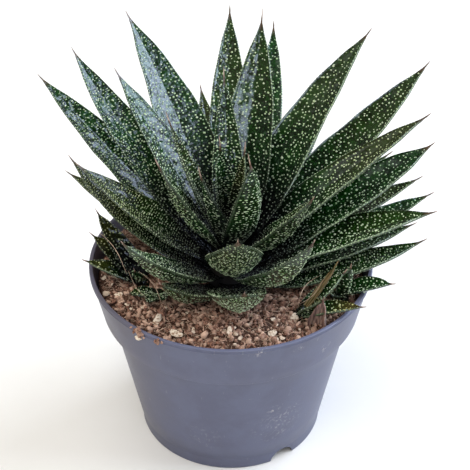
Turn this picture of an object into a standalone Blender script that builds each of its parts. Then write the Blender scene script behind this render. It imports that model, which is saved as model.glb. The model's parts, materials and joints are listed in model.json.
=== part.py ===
"""Potted gasteria: a rosette of thick keeled leaves with four offsets, in a round nursery pot.

Lengths are in millimetres in the tables and in metres in the scene. +Z is up and +Y points away
from the side that is seen first. The origin is the middle of the pot's underside.
"""
import math
from dataclasses import dataclass

import bmesh
import bpy
from mathutils import Vector

MM = 0.001

# Pot
RIM_RADIUS = 60.0
POT_HEIGHT = 85.0
LIP_HEIGHT = 2.0
COLLAR_BOTTOM_Z = 62.8
COLLAR_TOP_RADIUS = 59.3
COLLAR_BOTTOM_RADIUS = 55.2
NECK_RADIUS = 51.9
FOOT_STEP_Z = 6.4
FOOT_STEP = 0.7
BASE_RADIUS = 40.5
WALL = 1.2
FLOOR_Z = 6.2
DISH_RADIUS = 27.0
ARCH_RADIUS = 6.0
ARCH_DROP = 0.6
ARCH_AZIMUTHS = (-56.0, 64.0, 184.0)
DRAIN_RADIUS = 2.5
DRAIN_RING = 35.0
DRAIN_COUNT = 9
POT_SIDES = 52

# Gap kept between pieces that touch
GAP = 0.3

# Soil
SOIL_SIDES = 44
SOIL_WALL_Z = 76.5
SOIL_RIM_RADIUS = 54.6

# Stem of the rosette: a cylinder that ends in a dome, with the leaves set round it
STEM_X, STEM_Y = 0.0, -6.0
STEM_RADIUS = 9.0
STEM_Z = 79.0
STEM_DOME = 19.0
STEM_TURN = 82.0
STEM_DEPTH = 14.0
STEM_SIDES = 22

# Leaf section
LEAF_EDGE = 0.6
LEAF_FOOT = 0.45
LEAF_FOOT_THICK = 1.2
LEAF_TIP_THICK = 0.9
LEAF_CUP = 0.07
KEEL_POWER = 1.25
WRAP_LIMIT = 1.4
ACROSS = (-1.0, -0.5, 0.0, 0.5, 1.0)
SPINE_STEPS = 120

OFFSET_STEM_RADIUS = 3.0
OFFSET_SEAT = 1.7
OFFSET_STEM_DEPTH = 8.0
HOLE_CLEARANCE = 0.3


@dataclass(frozen=True)
class Leaf:
    """One leaf: direction, order on the stem from 0 (lowest) to 1 (crown), curve and size."""

    name: str
    azimuth: float
    order: float
    rise: float
    bend: float
    sweep: float
    length: float
    width: float
    thick: float


@dataclass(frozen=True)
class Offset:
    """A young plant beside the rosette: foot in the soil and leaves as (height, Leaf) pairs."""

    name: str
    x: float
    y: float
    z: float
    leaves: tuple


# Azimuth is counted from +X towards +Y. Rise is the slope at a third of the length, bend is how much
# the slope grows along the leaf and sweep is how far the leaf turns sideways, all in degrees.
ROSETTE = (
    Leaf("leaf_01", 352, 0.00, 16, 16, 14, 75, 18, 4.4),
    Leaf("leaf_02", 45, 0.02, 13, 0, -8, 92, 15, 3.8),
    Leaf("leaf_03", 231, 0.02, 29, 36, 0, 43, 16, 3.8),
    Leaf("leaf_04", 122, 0.03, 12, 4, 0, 62, 14, 4.0),
    Leaf("leaf_05", 77, 0.06, 14, 4, -10, 86, 14, 3.8),
    Leaf("leaf_06", 19, 0.09, 12, 0, 6, 87, 16, 3.8),
    Leaf("leaf_07", 146, 0.13, 13, 0, 0, 81, 17, 4.0),
    Leaf("leaf_08", 98, 0.14, 24, 0, 2, 92, 16, 4.4),
    Leaf("leaf_09", 276, 0.14, 28, 44, 0, 51, 24, 4.4),
    Leaf("leaf_10", 359, 0.15, 17, 4, 12, 71, 18, 4.0),
    Leaf("leaf_11", 62, 0.19, 21, 4, -6, 84, 13, 3.8),
    Leaf("leaf_12", 20, 0.24, 18, 0, 0, 82, 16, 3.2),
    Leaf("leaf_13", 168, 0.22, 31, 30, -12, 75, 20, 4.6),
    Leaf("leaf_14", 220, 0.25, 35, 34, 3, 61, 19, 4.4),
    Leaf("leaf_15", 74, 0.26, 33, 0, 14, 113, 18, 4.6),
    Leaf("leaf_16", 360, 0.29, 22, -2, -8, 80, 23, 3.8),
    Leaf("leaf_17", 143, 0.31, 29, -2, -2, 111, 22, 5.0),
    Leaf("leaf_18", 303, 0.33, 37, 44, 14, 62, 23, 4.6),
    Leaf("leaf_19", 12, 0.37, 29, 0, 8, 90, 22, 3.9),
    Leaf("leaf_20", 170, 0.39, 35, 12, 4, 69, 21, 4.4),
    Leaf("leaf_21", 91, 0.40, 42, 0, -2, 108, 20, 4.4),
    Leaf("leaf_22", 33, 0.48, 32, 2, 3, 112, 23, 4.0),
    Leaf("leaf_23", 143, 0.46, 38, -3, -14, 106, 21, 5.0),
    Leaf("leaf_24", 14, 0.54, 38, -4, -6, 94, 21, 4.8),
    Leaf("leaf_25", 117, 0.55, 46, -4, 16, 107, 25, 5.0),
    Leaf("leaf_26", 274, 0.55, 41, 44, 0, 48, 24, 4.4),
    Leaf("leaf_27", 50, 0.61, 45, -6, -16, 105, 23, 4.6),
    Leaf("leaf_28", 330, 0.66, 48, 20, 0, 50, 19, 4.2),
    Leaf("leaf_29", 145, 0.67, 52, -4, -2, 84, 19, 4.2),
    Leaf("leaf_30", 75, 0.73, 54, 0, 7, 96, 23, 4.2),
    Leaf("leaf_31", 196, 0.75, 60, 12, -2, 54, 17, 3.4),
    Leaf("leaf_32", 94, 0.82, 63, 0, 2, 70, 14, 3.0),
    Leaf("leaf_33", 166, 0.86, 67, 0, -20, 61, 8, 2.2),
    Leaf("leaf_34", 118, 0.93, 81, 4, 4, 46, 7.5, 2.0),
    Leaf("leaf_35", 224, 0.90, 73, 6, -32, 43, 7.5, 2.2),
    Leaf("leaf_36", 38, 0.95, 83, 3, 0, 45, 6.6, 2.0),
    Leaf("leaf_37", 326, 0.88, 80, 50, -58, 47, 13, 2.4),
)

OFFSETS = (
    Offset("offset_left", -37, -9, 79.0, (
        (3.5, Leaf("a", 137, 0, 38, 10, 0, 33, 11, 2.4)),
        (2.5, Leaf("b", 149, 0, 30, -6, 0, 28, 11, 2.4)),
        (1.5, Leaf("c", 180, 0, 26, -8, 0, 25, 11, 2.4)),
        (3.0, Leaf("d", 250, 0, 55, 20, 0, 12, 7, 1.8)),
    )),
    Offset("offset_front", -30, -17, 78.5, (
        (2.0, Leaf("a", 282, 0, 30, -50, 0, 14, 9, 2.0)),
        (1.5, Leaf("b", 210, 0, 24, -20, 0, 14, 8, 1.8)),
        (1.8, Leaf("c", 250, 0, 20, -20, 0, 12, 7, 1.8)),
    )),
    Offset("offset_right", 29, -30, 79.0, (
        (3.2, Leaf("a", 14, 0, 44, 6, 0, 23, 9, 2.0)),
        (2.0, Leaf("b", 356, 0, 34, 0, 0, 12, 9, 2.0)),
        (0.8, Leaf("c", 338, 0, 27, -18, 0, 27, 10, 2.2)),
        (4.4, Leaf("d", 28, 0, 56, 0, 0, 22, 5, 1.4)),
        (2.4, Leaf("e", 316, 0, 52, 0, 0, 12, 9, 1.4)),
    )),
    Offset("offset_rear", 46, -20, 79.0, (
        (4.0, Leaf("a", 341, 0, 30, -30, 0, 22, 12, 2.2)),
        (3.0, Leaf("b", 302, 0, 81, 0, 0, 18, 9, 2.0)),
        (1.6, Leaf("c", 222, 0, 42, 0, 0, 9, 8, 1.8)),
    )),
)


def smooth(value: float, low: float, high: float) -> float:
    """Smooth step from 0 at low to 1 at high."""
    part = min(1.0, max(0.0, (value - low) / (high - low)))
    return part * part * (3 - 2 * part)


def linear(hex_colour: str) -> tuple:
    """Turn an sRGB hex colour into a linear RGBA value."""
    channels = [int(hex_colour[i:i + 2], 16) / 255 for i in (1, 3, 5)]
    return tuple(c / 12.92 if c <= 0.04045 else ((c + 0.055) / 1.055) ** 2.4 for c in channels) + (1.0,)


def make_material(name: str, hex_colour: str, roughness: float) -> bpy.types.Material:
    """Make a Principled material with a plain colour."""
    material = bpy.data.materials.new(name)
    material.use_nodes = True
    shader = material.node_tree.nodes["Principled BSDF"]
    shader.inputs["Base Color"].default_value = linear(hex_colour)
    shader.inputs["Roughness"].default_value = roughness
    shader.inputs["Metallic"].default_value = 0.0
    material.diffuse_color = linear(hex_colour)
    return material


def add_object(name: str, bm: bmesh.types.BMesh, material: bpy.types.Material) -> bpy.types.Object:
    """Turn a bmesh into a smooth-shaded object with sharp edges over 35 degrees."""
    bmesh.ops.recalc_face_normals(bm, faces=bm.faces[:])
    mesh = bpy.data.meshes.new(name)
    bm.to_mesh(mesh)
    bm.free()
    mesh.materials.append(material)
    mesh.shade_smooth()
    mesh.set_sharp_from_angle(angle=math.radians(35))
    obj = bpy.data.objects.new(name, mesh)
    bpy.context.scene.collection.objects.link(obj)
    return obj


def lathe(profile: list, sides: int) -> bmesh.types.BMesh:
    """Spin a profile of (radius, height) points in millimetres round the Z axis."""
    bm = bmesh.new()
    verts = [bm.verts.new((radius * MM, 0, height * MM)) for radius, height in profile]
    edges = [bm.edges.new(pair) for pair in zip(verts, verts[1:])]
    bmesh.ops.spin(bm, geom=verts + edges, cent=(0, 0, 0), axis=(0, 0, 1), angle=math.tau, steps=sides,
                   use_merge=True)
    bmesh.ops.remove_doubles(bm, verts=bm.verts[:], dist=1e-6)
    return bm


def combine(target: bpy.types.Object, others: list, operation: str) -> None:
    """Apply one Boolean of the target with a collection of other objects, then remove them."""
    group = bpy.data.collections.new(target.name + "_operands")
    for other in others:
        group.objects.link(other)
        other.hide_render = True
        other.display_type = "WIRE"
    modifier = target.modifiers.new("Boolean", "BOOLEAN")
    modifier.operation = operation
    modifier.operand_type = "COLLECTION"
    modifier.collection = group
    modifier.solver = "EXACT"
    bpy.context.view_layer.update()
    result = bpy.data.meshes.new_from_object(target.evaluated_get(bpy.context.evaluated_depsgraph_get()))
    target.modifiers.remove(modifier)
    target.data = result
    for other in others:
        bpy.data.objects.remove(other)
    bpy.data.collections.remove(group)
    result.shade_smooth()
    result.set_sharp_from_angle(angle=math.radians(35))


def wall_radius(height: float) -> float:
    """Outer radius of the tapered body of the pot above its foot."""
    foot = BASE_RADIUS + FOOT_STEP
    return foot + (NECK_RADIUS - foot) * (height - FOOT_STEP_Z) / (COLLAR_BOTTOM_Z - FOOT_STEP_Z)


def collar_radius(height: float) -> float:
    """Outer radius of the collar under the lip."""
    top = POT_HEIGHT - LIP_HEIGHT
    part = (height - COLLAR_BOTTOM_Z) / (top - COLLAR_BOTTOM_Z)
    return COLLAR_BOTTOM_RADIUS + (COLLAR_TOP_RADIUS - COLLAR_BOTTOM_RADIUS) * part


def make_pot(material: bpy.types.Material) -> bpy.types.Object:
    """Make the thin pot: lip, collar, tapered wall, foot with arches and floor with drain holes."""
    top = POT_HEIGHT
    shelf = COLLAR_BOTTOM_Z + WALL
    outside = [
        (RIM_RADIUS - 1.4, top), (RIM_RADIUS - 0.5, top), (RIM_RADIUS, top - 0.5),
        (RIM_RADIUS, top - LIP_HEIGHT + 0.3), (RIM_RADIUS - 0.3, top - LIP_HEIGHT),
        (COLLAR_TOP_RADIUS, top - LIP_HEIGHT - 0.1), (collar_radius(COLLAR_BOTTOM_Z + 0.6), COLLAR_BOTTOM_Z + 0.6),
        (COLLAR_BOTTOM_RADIUS - 0.5, COLLAR_BOTTOM_Z), (NECK_RADIUS, COLLAR_BOTTOM_Z),
        (wall_radius(FOOT_STEP_Z), FOOT_STEP_Z), (BASE_RADIUS + 0.2, FOOT_STEP_Z - 0.4),
        (BASE_RADIUS, 0.6), (BASE_RADIUS - 0.4, 0),
    ]
    under = [
        (BASE_RADIUS - WALL, 0), (BASE_RADIUS - WALL + 0.1, FLOOR_Z), (DISH_RADIUS + 3, FLOOR_Z),
        (DISH_RADIUS, 0), (0, 0),
    ]
    inside = [
        (0, WALL + 0.2), (DISH_RADIUS - 0.8, WALL + 0.2), (DISH_RADIUS + 2.2, FLOOR_Z + WALL + 0.2),
        (wall_radius(FLOOR_Z + WALL + 0.2) - WALL, FLOOR_Z + WALL + 0.2),
        (wall_radius(shelf) - WALL, shelf), (collar_radius(shelf) - WALL, shelf),
        (collar_radius(top - LIP_HEIGHT) - WALL, top - LIP_HEIGHT), (RIM_RADIUS - 1.8, top - 0.4),
    ]
    profile = outside + under + inside
    pot = add_object("pot", lathe(profile + profile[:1], POT_SIDES), material)
    cutters = []
    for azimuth in ARCH_AZIMUTHS:
        bm = bmesh.new()
        bmesh.ops.create_cone(bm, cap_ends=True, segments=24, radius1=ARCH_RADIUS * MM, radius2=ARCH_RADIUS * MM,
                              depth=8 * MM)
        arch = add_object("arch", bm, material)
        angle = math.radians(azimuth)
        arch.location = (BASE_RADIUS * MM * math.cos(angle), BASE_RADIUS * MM * math.sin(angle), -ARCH_DROP * MM)
        arch.rotation_euler = (0, math.pi / 2, angle)
        cutters.append(arch)
    for index in range(DRAIN_COUNT):
        bm = bmesh.new()
        bmesh.ops.create_cone(bm, cap_ends=True, segments=12, radius1=DRAIN_RADIUS * MM, radius2=DRAIN_RADIUS * MM,
                              depth=6 * MM)
        drain = add_object("drain", bm, material)
        angle = math.tau * (index + 0.5) / DRAIN_COUNT
        drain.location = (DRAIN_RING * MM * math.cos(angle), DRAIN_RING * MM * math.sin(angle), FLOOR_Z * MM)
        cutters.append(drain)
    combine(pot, cutters, "DIFFERENCE")
    return pot


def soil_height(x: float, y: float) -> float:
    """Height of the soil's crumbly top at a point, lower round each stem."""
    radius = math.hypot(x, y)
    mound = 77.2 + 3.2 * smooth(radius, 20, 40) - 1.2 * smooth(radius, 40, SOIL_RIM_RADIUS)
    lumps = 0.35 * math.sin(0.31 * x + 1.3) * math.cos(0.27 * y - 0.4) + 0.25 * math.sin(0.83 * x + 0.71 * y)
    dips = sum(3.0 * (1 - smooth(math.hypot(x - o.x, y - o.y), 4, 10)) for o in OFFSETS)
    return mound + lumps * smooth(radius, 10, 25) - min(dips, 3.0)


def make_soil(material: bpy.types.Material) -> bpy.types.Object:
    """Make the soil: it fills the pot up to an uneven top, with a plain hole for each stem."""
    shelf = COLLAR_BOTTOM_Z + WALL + GAP
    low = WALL + 0.2 + GAP
    ring = FLOOR_Z + WALL + 0.2 + GAP
    side = [
        (0, low), (DISH_RADIUS - 1.4, low), (DISH_RADIUS + 1.8, ring), (wall_radius(ring) - WALL - GAP, ring),
        (wall_radius(shelf) - WALL - GAP, shelf), (collar_radius(shelf) - WALL - GAP, shelf),
        (collar_radius(SOIL_WALL_Z) - WALL - GAP, SOIL_WALL_Z),
    ]
    crown = [(radius, POT_HEIGHT) for radius in (SOIL_RIM_RADIUS, 50, 44, 38, 31, 24, 14, 0)]
    bm = lathe(side + crown, SOIL_SIDES)
    for vert in bm.verts:
        if vert.co.z > (POT_HEIGHT - 1) * MM:
            vert.co.z = soil_height(vert.co.x / MM, vert.co.y / MM) * MM
    soil = add_object("soil", bm, material)
    holes = []
    for x, y, radius, bottom in [(STEM_X, STEM_Y, STEM_RADIUS, STEM_Z - STEM_DEPTH)] + [
            (o.x, o.y, OFFSET_STEM_RADIUS, o.z - OFFSET_STEM_DEPTH) for o in OFFSETS]:
        bm = bmesh.new()
        bmesh.ops.create_cone(bm, cap_ends=True, segments=STEM_SIDES, radius1=(radius + HOLE_CLEARANCE) * MM,
                              radius2=(radius + HOLE_CLEARANCE) * MM, depth=40 * MM)
        hole = add_object("hole", bm, material)
        hole.location = (x * MM, y * MM, (bottom - GAP + 20) * MM)
        holes.append(hole)
    combine(soil, holes, "DIFFERENCE")
    return soil


def seat(order: float) -> tuple:
    """Radius and height where a leaf of this order leaves the dome of the stem."""
    turn = math.radians(STEM_TURN * order)
    return STEM_RADIUS * math.cos(turn) + GAP, STEM_Z + STEM_DOME * math.sin(turn)


def make_stem(material: bpy.types.Material) -> bpy.types.Object:
    """Make the stem: a round foot in the soil and the dome that carries the leaves."""
    profile = [(0, STEM_Z - STEM_DEPTH), (STEM_RADIUS, STEM_Z - STEM_DEPTH)]
    for step in range(8):
        radius, height = seat(step / 7)
        profile.append((radius - GAP, height))
    profile.append((0, STEM_Z + STEM_DOME))
    bm = lathe(profile, STEM_SIDES)
    bmesh.ops.translate(bm, verts=bm.verts[:], vec=(STEM_X * MM, STEM_Y * MM, 0))
    return add_object("stem", bm, material)


def half_width(part: float, width: float) -> float:
    """Half of the leaf's width at a part of its length: a narrow foot, a full middle, a long point."""
    point = 1 - (1 - min(1.0, (1 - part) / 0.75)) ** 1.9
    foot = LEAF_FOOT + (1 - LEAF_FOOT) * smooth(part, 0.0, 0.32)
    return 0.5 * width * point * foot


def thickness(part: float, thick: float) -> float:
    """Thickness over the keel at a part of the leaf's length."""
    body = LEAF_FOOT_THICK + (thick - LEAF_FOOT_THICK) * smooth(part, 0.05, 0.4)
    end = smooth(part, 0.5, 1.0)
    return body * (1 - end) + LEAF_TIP_THICK * end


def spine(leaf: Leaf, start: Vector, rows: int) -> list:
    """Follow the leaf's upper midline.

    Args:
        leaf: the leaf to follow.
        start: where it leaves its stem, in millimetres.
        rows: how many steps the result has along the leaf.

    Returns:
        A list of (part, point, direction, azimuth in radians), rows + 1 long.
    """
    point = start.copy()
    result = []
    last = None
    for step in range(SPINE_STEPS + 1):
        part = step / SPINE_STEPS
        rise = math.radians(leaf.rise + leaf.bend * (part - 0.35))
        azimuth = math.radians(leaf.azimuth + leaf.sweep * part ** 1.5)
        way = Vector((math.cos(rise) * math.cos(azimuth), math.cos(rise) * math.sin(azimuth), math.sin(rise)))
        if last is not None:
            point = point + (last + way) * (0.5 * leaf.length / SPINE_STEPS)
        last = way
        if step * rows % SPINE_STEPS == 0:
            result.append((part, point.copy(), way, azimuth))
    return result


def leaf_rows(leaf: Leaf, axis: Vector, start: Vector, rows: int) -> list:
    """Rings of section points: flat or hollow above, keeled below, wrapped round the plant's axis."""
    result = []
    for part, point, way, azimuth in spine(leaf, start, rows):
        side = Vector((-math.sin(azimuth), math.cos(azimuth), 0))
        up = way.cross(side)
        out = Vector((point.x - axis.x, point.y - axis.y, 0))
        half = half_width(part, leaf.width)
        radius = max(out.length, half / WRAP_LIMIT)
        thick = thickness(part, leaf.thick)
        top, low = [], []
        for across in ACROSS:
            turn = across * half / radius
            cup = 2 * LEAF_CUP * half * across * across * smooth(part, 0.1, 0.5)
            upper = point + side * (radius * math.sin(turn)) - out.normalized() * (radius * (1 - math.cos(turn)))
            upper = upper + up * cup
            top.append(upper)
            low.append(upper - up * (LEAF_EDGE + (thick - LEAF_EDGE) * (1 - abs(across) ** KEEL_POWER)))
        result.append(top + low[::-1])
    end = spine(leaf, start, rows)[-1]
    tip = end[1] + end[2] * LEAF_EDGE
    result[-1] = [tip] * len(result[-1])
    return result


def leaf_bmesh(leaf: Leaf, axis: Vector, start: Vector) -> bmesh.types.BMesh:
    """Wrap a grid round the leaf's section rings; its first row folds flat to close the foot."""
    rings = leaf_rows(leaf, axis, start, 10 if leaf.length > 50 else 8 if leaf.length > 30 else 6)
    sides = len(rings[0])
    fold = [(rings[0][i] + rings[0][sides - 1 - i]) / 2 for i in range(sides)]
    rings.insert(0, fold)
    rows = len(rings) - 1
    bm = bmesh.new()
    bmesh.ops.create_grid(bm, x_segments=sides, y_segments=rows, size=1.0)
    for vert in bm.verts:
        column = round((vert.co.x + 1) / 2 * sides) % sides
        row = round((vert.co.y + 1) / 2 * rows)
        vert.co = rings[row][column] * MM
    bmesh.ops.remove_doubles(bm, verts=bm.verts[:], dist=1e-6)
    return bm


def make_rosette(material: bpy.types.Material) -> None:
    """Make the large leaves, each its own piece about 0.3 mm off the stem."""
    axis = Vector((STEM_X, STEM_Y, 0))
    for leaf in ROSETTE:
        radius, height = seat(leaf.order)
        azimuth = math.radians(leaf.azimuth)
        start = axis + Vector((radius * math.cos(azimuth), radius * math.sin(azimuth), height))
        add_object(leaf.name, leaf_bmesh(leaf, axis, start), material)


def make_offset(offset: Offset, material: bpy.types.Material) -> None:
    """Make one offset: a short stem in the soil, fused with its leaves."""
    axis = Vector((offset.x, offset.y, 0))
    top = max(height for height, _ in offset.leaves) + 1.0
    profile = [
        (0, offset.z - OFFSET_STEM_DEPTH), (OFFSET_STEM_RADIUS, offset.z - OFFSET_STEM_DEPTH),
        (OFFSET_STEM_RADIUS, offset.z + top), (OFFSET_STEM_RADIUS * 0.6, offset.z + top + 0.8),
        (0, offset.z + top + 1.0),
    ]
    bm = lathe(profile, 14)
    bmesh.ops.translate(bm, verts=bm.verts[:], vec=axis * MM)
    body = add_object(offset.name, bm, material)
    blades = []
    for height, leaf in offset.leaves:
        azimuth = math.radians(leaf.azimuth)
        foot = Vector((math.cos(azimuth), math.sin(azimuth), 0)) * OFFSET_SEAT
        start = axis + foot + Vector((0, 0, offset.z + height))
        blades.append(add_object("blade", leaf_bmesh(leaf, axis, start), material))
    combine(body, blades, "UNION")


def main() -> None:
    """Build the plant, its soil and its pot."""
    for obj in list(bpy.data.objects):
        bpy.data.objects.remove(obj)
    make_pot(make_material("pot_plastic", "#6f7085", 0.42))
    make_soil(make_material("soil_fibre", "#6b4a3b", 0.95))
    make_stem(make_material("stem_tissue", "#5d6b3a", 0.6))
    make_rosette(make_material("leaf_green", "#1f4a22", 0.45))
    for offset in OFFSETS:
        make_offset(offset, make_material(offset.name + "_green", "#2a4f23", 0.45))


main()
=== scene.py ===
"""Potted gasteria: fine meshes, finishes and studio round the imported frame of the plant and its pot.

The frame is in metres with +Z up and +Y away from the camera. Lengths in the tables and formulas below
are in millimetres. Each leaf follows the same formula as its solid, with many more rows and columns.
"""

import json
import logging
import math
from dataclasses import dataclass, field
from enum import Enum

import bmesh
import bpy
import numpy as np
from bmesh.types import BMesh
from bpy.types import ID, Material, Mesh, NodeSocket, Object
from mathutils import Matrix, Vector, noise

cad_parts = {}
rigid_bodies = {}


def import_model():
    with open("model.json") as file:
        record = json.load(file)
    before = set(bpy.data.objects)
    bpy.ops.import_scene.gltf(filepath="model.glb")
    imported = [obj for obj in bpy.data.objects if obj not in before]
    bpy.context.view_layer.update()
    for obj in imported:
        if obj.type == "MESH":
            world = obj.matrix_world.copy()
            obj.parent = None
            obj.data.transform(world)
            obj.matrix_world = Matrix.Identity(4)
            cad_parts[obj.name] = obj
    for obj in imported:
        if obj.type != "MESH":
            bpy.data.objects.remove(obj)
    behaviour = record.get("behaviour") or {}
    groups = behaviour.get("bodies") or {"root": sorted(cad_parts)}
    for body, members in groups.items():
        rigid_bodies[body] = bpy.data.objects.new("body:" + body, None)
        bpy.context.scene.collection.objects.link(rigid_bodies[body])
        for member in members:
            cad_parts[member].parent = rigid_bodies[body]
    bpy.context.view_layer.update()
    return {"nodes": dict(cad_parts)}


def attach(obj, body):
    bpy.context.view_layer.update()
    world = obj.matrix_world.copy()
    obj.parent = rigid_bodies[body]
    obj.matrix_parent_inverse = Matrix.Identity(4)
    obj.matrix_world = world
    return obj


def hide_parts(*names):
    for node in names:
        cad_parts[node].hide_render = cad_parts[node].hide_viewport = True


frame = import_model()
LOG = logging.getLogger("gasteria")
MM = 0.001
METRE = 1000
TINY = 1e-6
ROOT = "root"


def linear(hex_colour: str) -> tuple[float, float, float, float]:
    """Turn an sRGB hex colour into a linear RGBA value."""
    channels = [int(hex_colour[i:i + 2], 16) / 255 for i in (1, 3, 5)]
    return tuple(c / 12.92 if c <= 0.04045 else ((c + 0.055) / 1.055) ** 2.4 for c in channels) + (1.0,)


def smooth(value: np.ndarray, low: float, high: float) -> np.ndarray:
    """Smooth step from 0 at low to 1 at high."""
    part = np.clip((np.asarray(value, float) - low) / (high - low), 0.0, 1.0)
    return part * part * (3 - 2 * part)


def around(radius: float, turn: float, height: float = 0.0) -> np.ndarray:
    """The place at a radius and an angle in radians round the Z axis, at a height."""
    return np.array([radius * math.cos(turn), radius * math.sin(turn), height])


def arc(x: float, z: float, radius: float, first: float, last: float, count: int) -> list[tuple]:
    """So many points of a section's round corner, from one angle in degrees to another."""
    return [(x + radius * math.cos(a), z + radius * math.sin(a))
            for a in np.linspace(math.radians(first), math.radians(last), count)]


MIX = {"data_type": "RGBA"}
RESULT = 2
SOFT = {"interpolation_type": "SMOOTHSTEP"}
TIMES, PLUS, MINUS, LARGER = ({"operation": name} for name in ("MULTIPLY", "ADD", "SUBTRACT", "MAXIMUM"))


class Finish:
    """A material being built: one Principled shader and the nodes that feed it."""

    def __init__(self, name: str) -> None:
        """Start a material with only its shader and output.

        Args:
            name: the material's name.
        """
        self.material = bpy.data.materials.new(name)
        self.material.use_nodes = True
        self.tree = self.material.node_tree
        self.shader = self.tree.nodes["Principled BSDF"]

    def feed(self, socket: NodeSocket, value: object) -> None:
        """Link a socket, or set it to a plain value or to a hex colour.

        Args:
            socket: the input to fill.
            value: the socket to link from, a number, a vector or a hex colour.
        """
        if isinstance(value, NodeSocket):
            self.tree.links.new(value, socket)
        else:
            socket.default_value = linear(value) if isinstance(value, str) else value

    def node(self, kind: str, settings: dict | None = None, inputs: dict | tuple = (),
             out: int | str = 0) -> NodeSocket:
        """Add one node with its settings and links.

        Args:
            kind: the node's type, without its ShaderNode prefix.
            settings: property values by name.
            inputs: what each socket is fed with, in the node's order, or by socket name or number.
            out: which output is wanted.

        Returns:
            The wanted output socket.
        """
        made = self.tree.nodes.new("ShaderNode" + kind)
        for name, value in (settings or {}).items():
            setattr(made, name, value)
        for name, value in inputs.items() if isinstance(inputs, dict) else enumerate(inputs):
            self.feed(made.inputs[name], value)
        return made.outputs[out]

    def surface(self, base: str, coats: tuple, relief: tuple | None = None, **inputs: object) -> Material:
        """Lay coats of colour over a base, raise its relief and set the shader's other sockets.

        Args:
            base: the colour under all coats.
            coats: for each coat, the share that it covers and its colour.
            relief: the height that stands out, how strongly, and its depth in mm.
            inputs: the shader's other sockets, named with underscores for spaces.

        Returns:
            The finished material.
        """
        for share, tint in coats:
            base = self.node("Mix", MIX, {0: share, 6: base, 7: tint}, RESULT)
        inputs["Base_Color"] = base
        if relief:
            height, strength, depth = relief
            inputs["Normal"] = self.node("Bump", inputs={
                "Height": height, "Strength": strength, "Distance": depth * MM})
        for name, value in inputs.items():
            self.feed(self.shader.inputs[name.replace("_", " ")], value)
        return self.material


@dataclass(frozen=True)
class LeafSkin:
    """Thick leaf skin under a thin wax film: dark green with a soft gloss that mirrors the window."""

    deep: str = "#051605"
    mid: str = "#0d300a"
    bright: str = "#1d5b19"
    olive: str = "#373213"
    # The next colour is near black: the painted shade where the leaves meet at the crown.
    crown: str = "#050407"
    pale: str = "#86997c"
    tip: str = "#5d4335"
    hair: str = "#b39a8c"
    patch_mm: float = 7.0
    fleck_mm: float = 0.625
    speck_mm: float = 0.8
    wrinkle_mm: float = 2.4

    def make(self) -> Material:
        """Build the skin: cloudy greens, olive sunburn, pale margins and specks, brown tip, fine wrinkles,
        and painted shade towards the crown.

        Returns:
            The material.
        """
        f = Finish("leaf_cuticle")
        place, where, tone = (f.node("Attribute", {"attribute_name": name}, out="Vector")
                              for name in ("leaf_mm", "leaf_map", "leaf_tone"))
        edging = f.node("Attribute", {"attribute_name": "leaf_rim"}, out="Fac")
        part, across, face = f.node("SeparateXYZ", inputs=(where,)).node.outputs
        olive, pale, dark = f.node("SeparateXYZ", inputs=(tone,)).node.outputs
        patch = f.node("TexNoise", inputs={"Vector": place, "Scale": 1 / self.patch_mm, "Detail": 3.0})
        fleck = f.node("TexNoise", inputs={"Vector": place, "Scale": 1 / self.fleck_mm, "Detail": 2.0})
        speck = f.node("TexVoronoi", inputs={"Vector": place, "Scale": 1 / self.speck_mm})
        ridge = f.node("TexNoise", inputs={"Vector": place, "Scale": 1 / self.wrinkle_mm, "Detail": 1.0})
        cloud = f.node("MapRange", SOFT, (patch, 0.38, 0.66))
        lively = f.node("MapRange", SOFT, (fleck, 0.5, 0.75, 0.0, 0.6))
        burn = f.node("Math", TIMES, (olive, f.node("MapRange", SOFT, (patch, 0.25, 0.6, 0.35, 1.0))))
        haze = f.node("Math", TIMES, (pale, f.node("MapRange", SOFT, (speck, 0.42, 0.2))))
        width = f.node("Math", {"operation": "ABSOLUTE"}, (across,))
        rim = f.node("MapRange", SOFT, (width, 0.94, 0.975, 0.0, edging))
        keel = f.node("MapRange", SOFT, (width, 0.055, 0.02, 0.0, 0.5))
        keel = f.node("Math", TIMES, (keel, f.node("Math", MINUS, (1.0, face))))
        line = f.node("Math", TIMES, (f.node("Math", LARGER, (rim, keel)),
                                      f.node("MapRange", SOFT, (fleck, 0.3, 0.6, 0.3, 1.0))))
        end = f.node("MapRange", SOFT, (part, 0.94, 1.0, 0.0, 0.85))
        thorn = f.node("MapRange", SOFT, (part, 1.0, 1.03))
        gloss = f.node("MapRange", inputs=(fleck, 0.3, 0.7, 0.2, 0.3))
        # The dark coat in the crown colour is painted shade towards the crown.
        coats = ((cloud, self.mid), (lively, self.bright), (burn, self.olive), (haze, self.pale),
                 (line, self.pale), (dark, self.crown), (end, self.tip), (thorn, self.hair))
        return f.surface(self.deep, coats, (f.node("Math", PLUS, (ridge, haze)), 0.9, 1.3), Roughness=gloss,
                         IOR=1.45, Specular_IOR_Level=0.25, Coat_Weight=0.28, Coat_Roughness=0.1)


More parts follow.
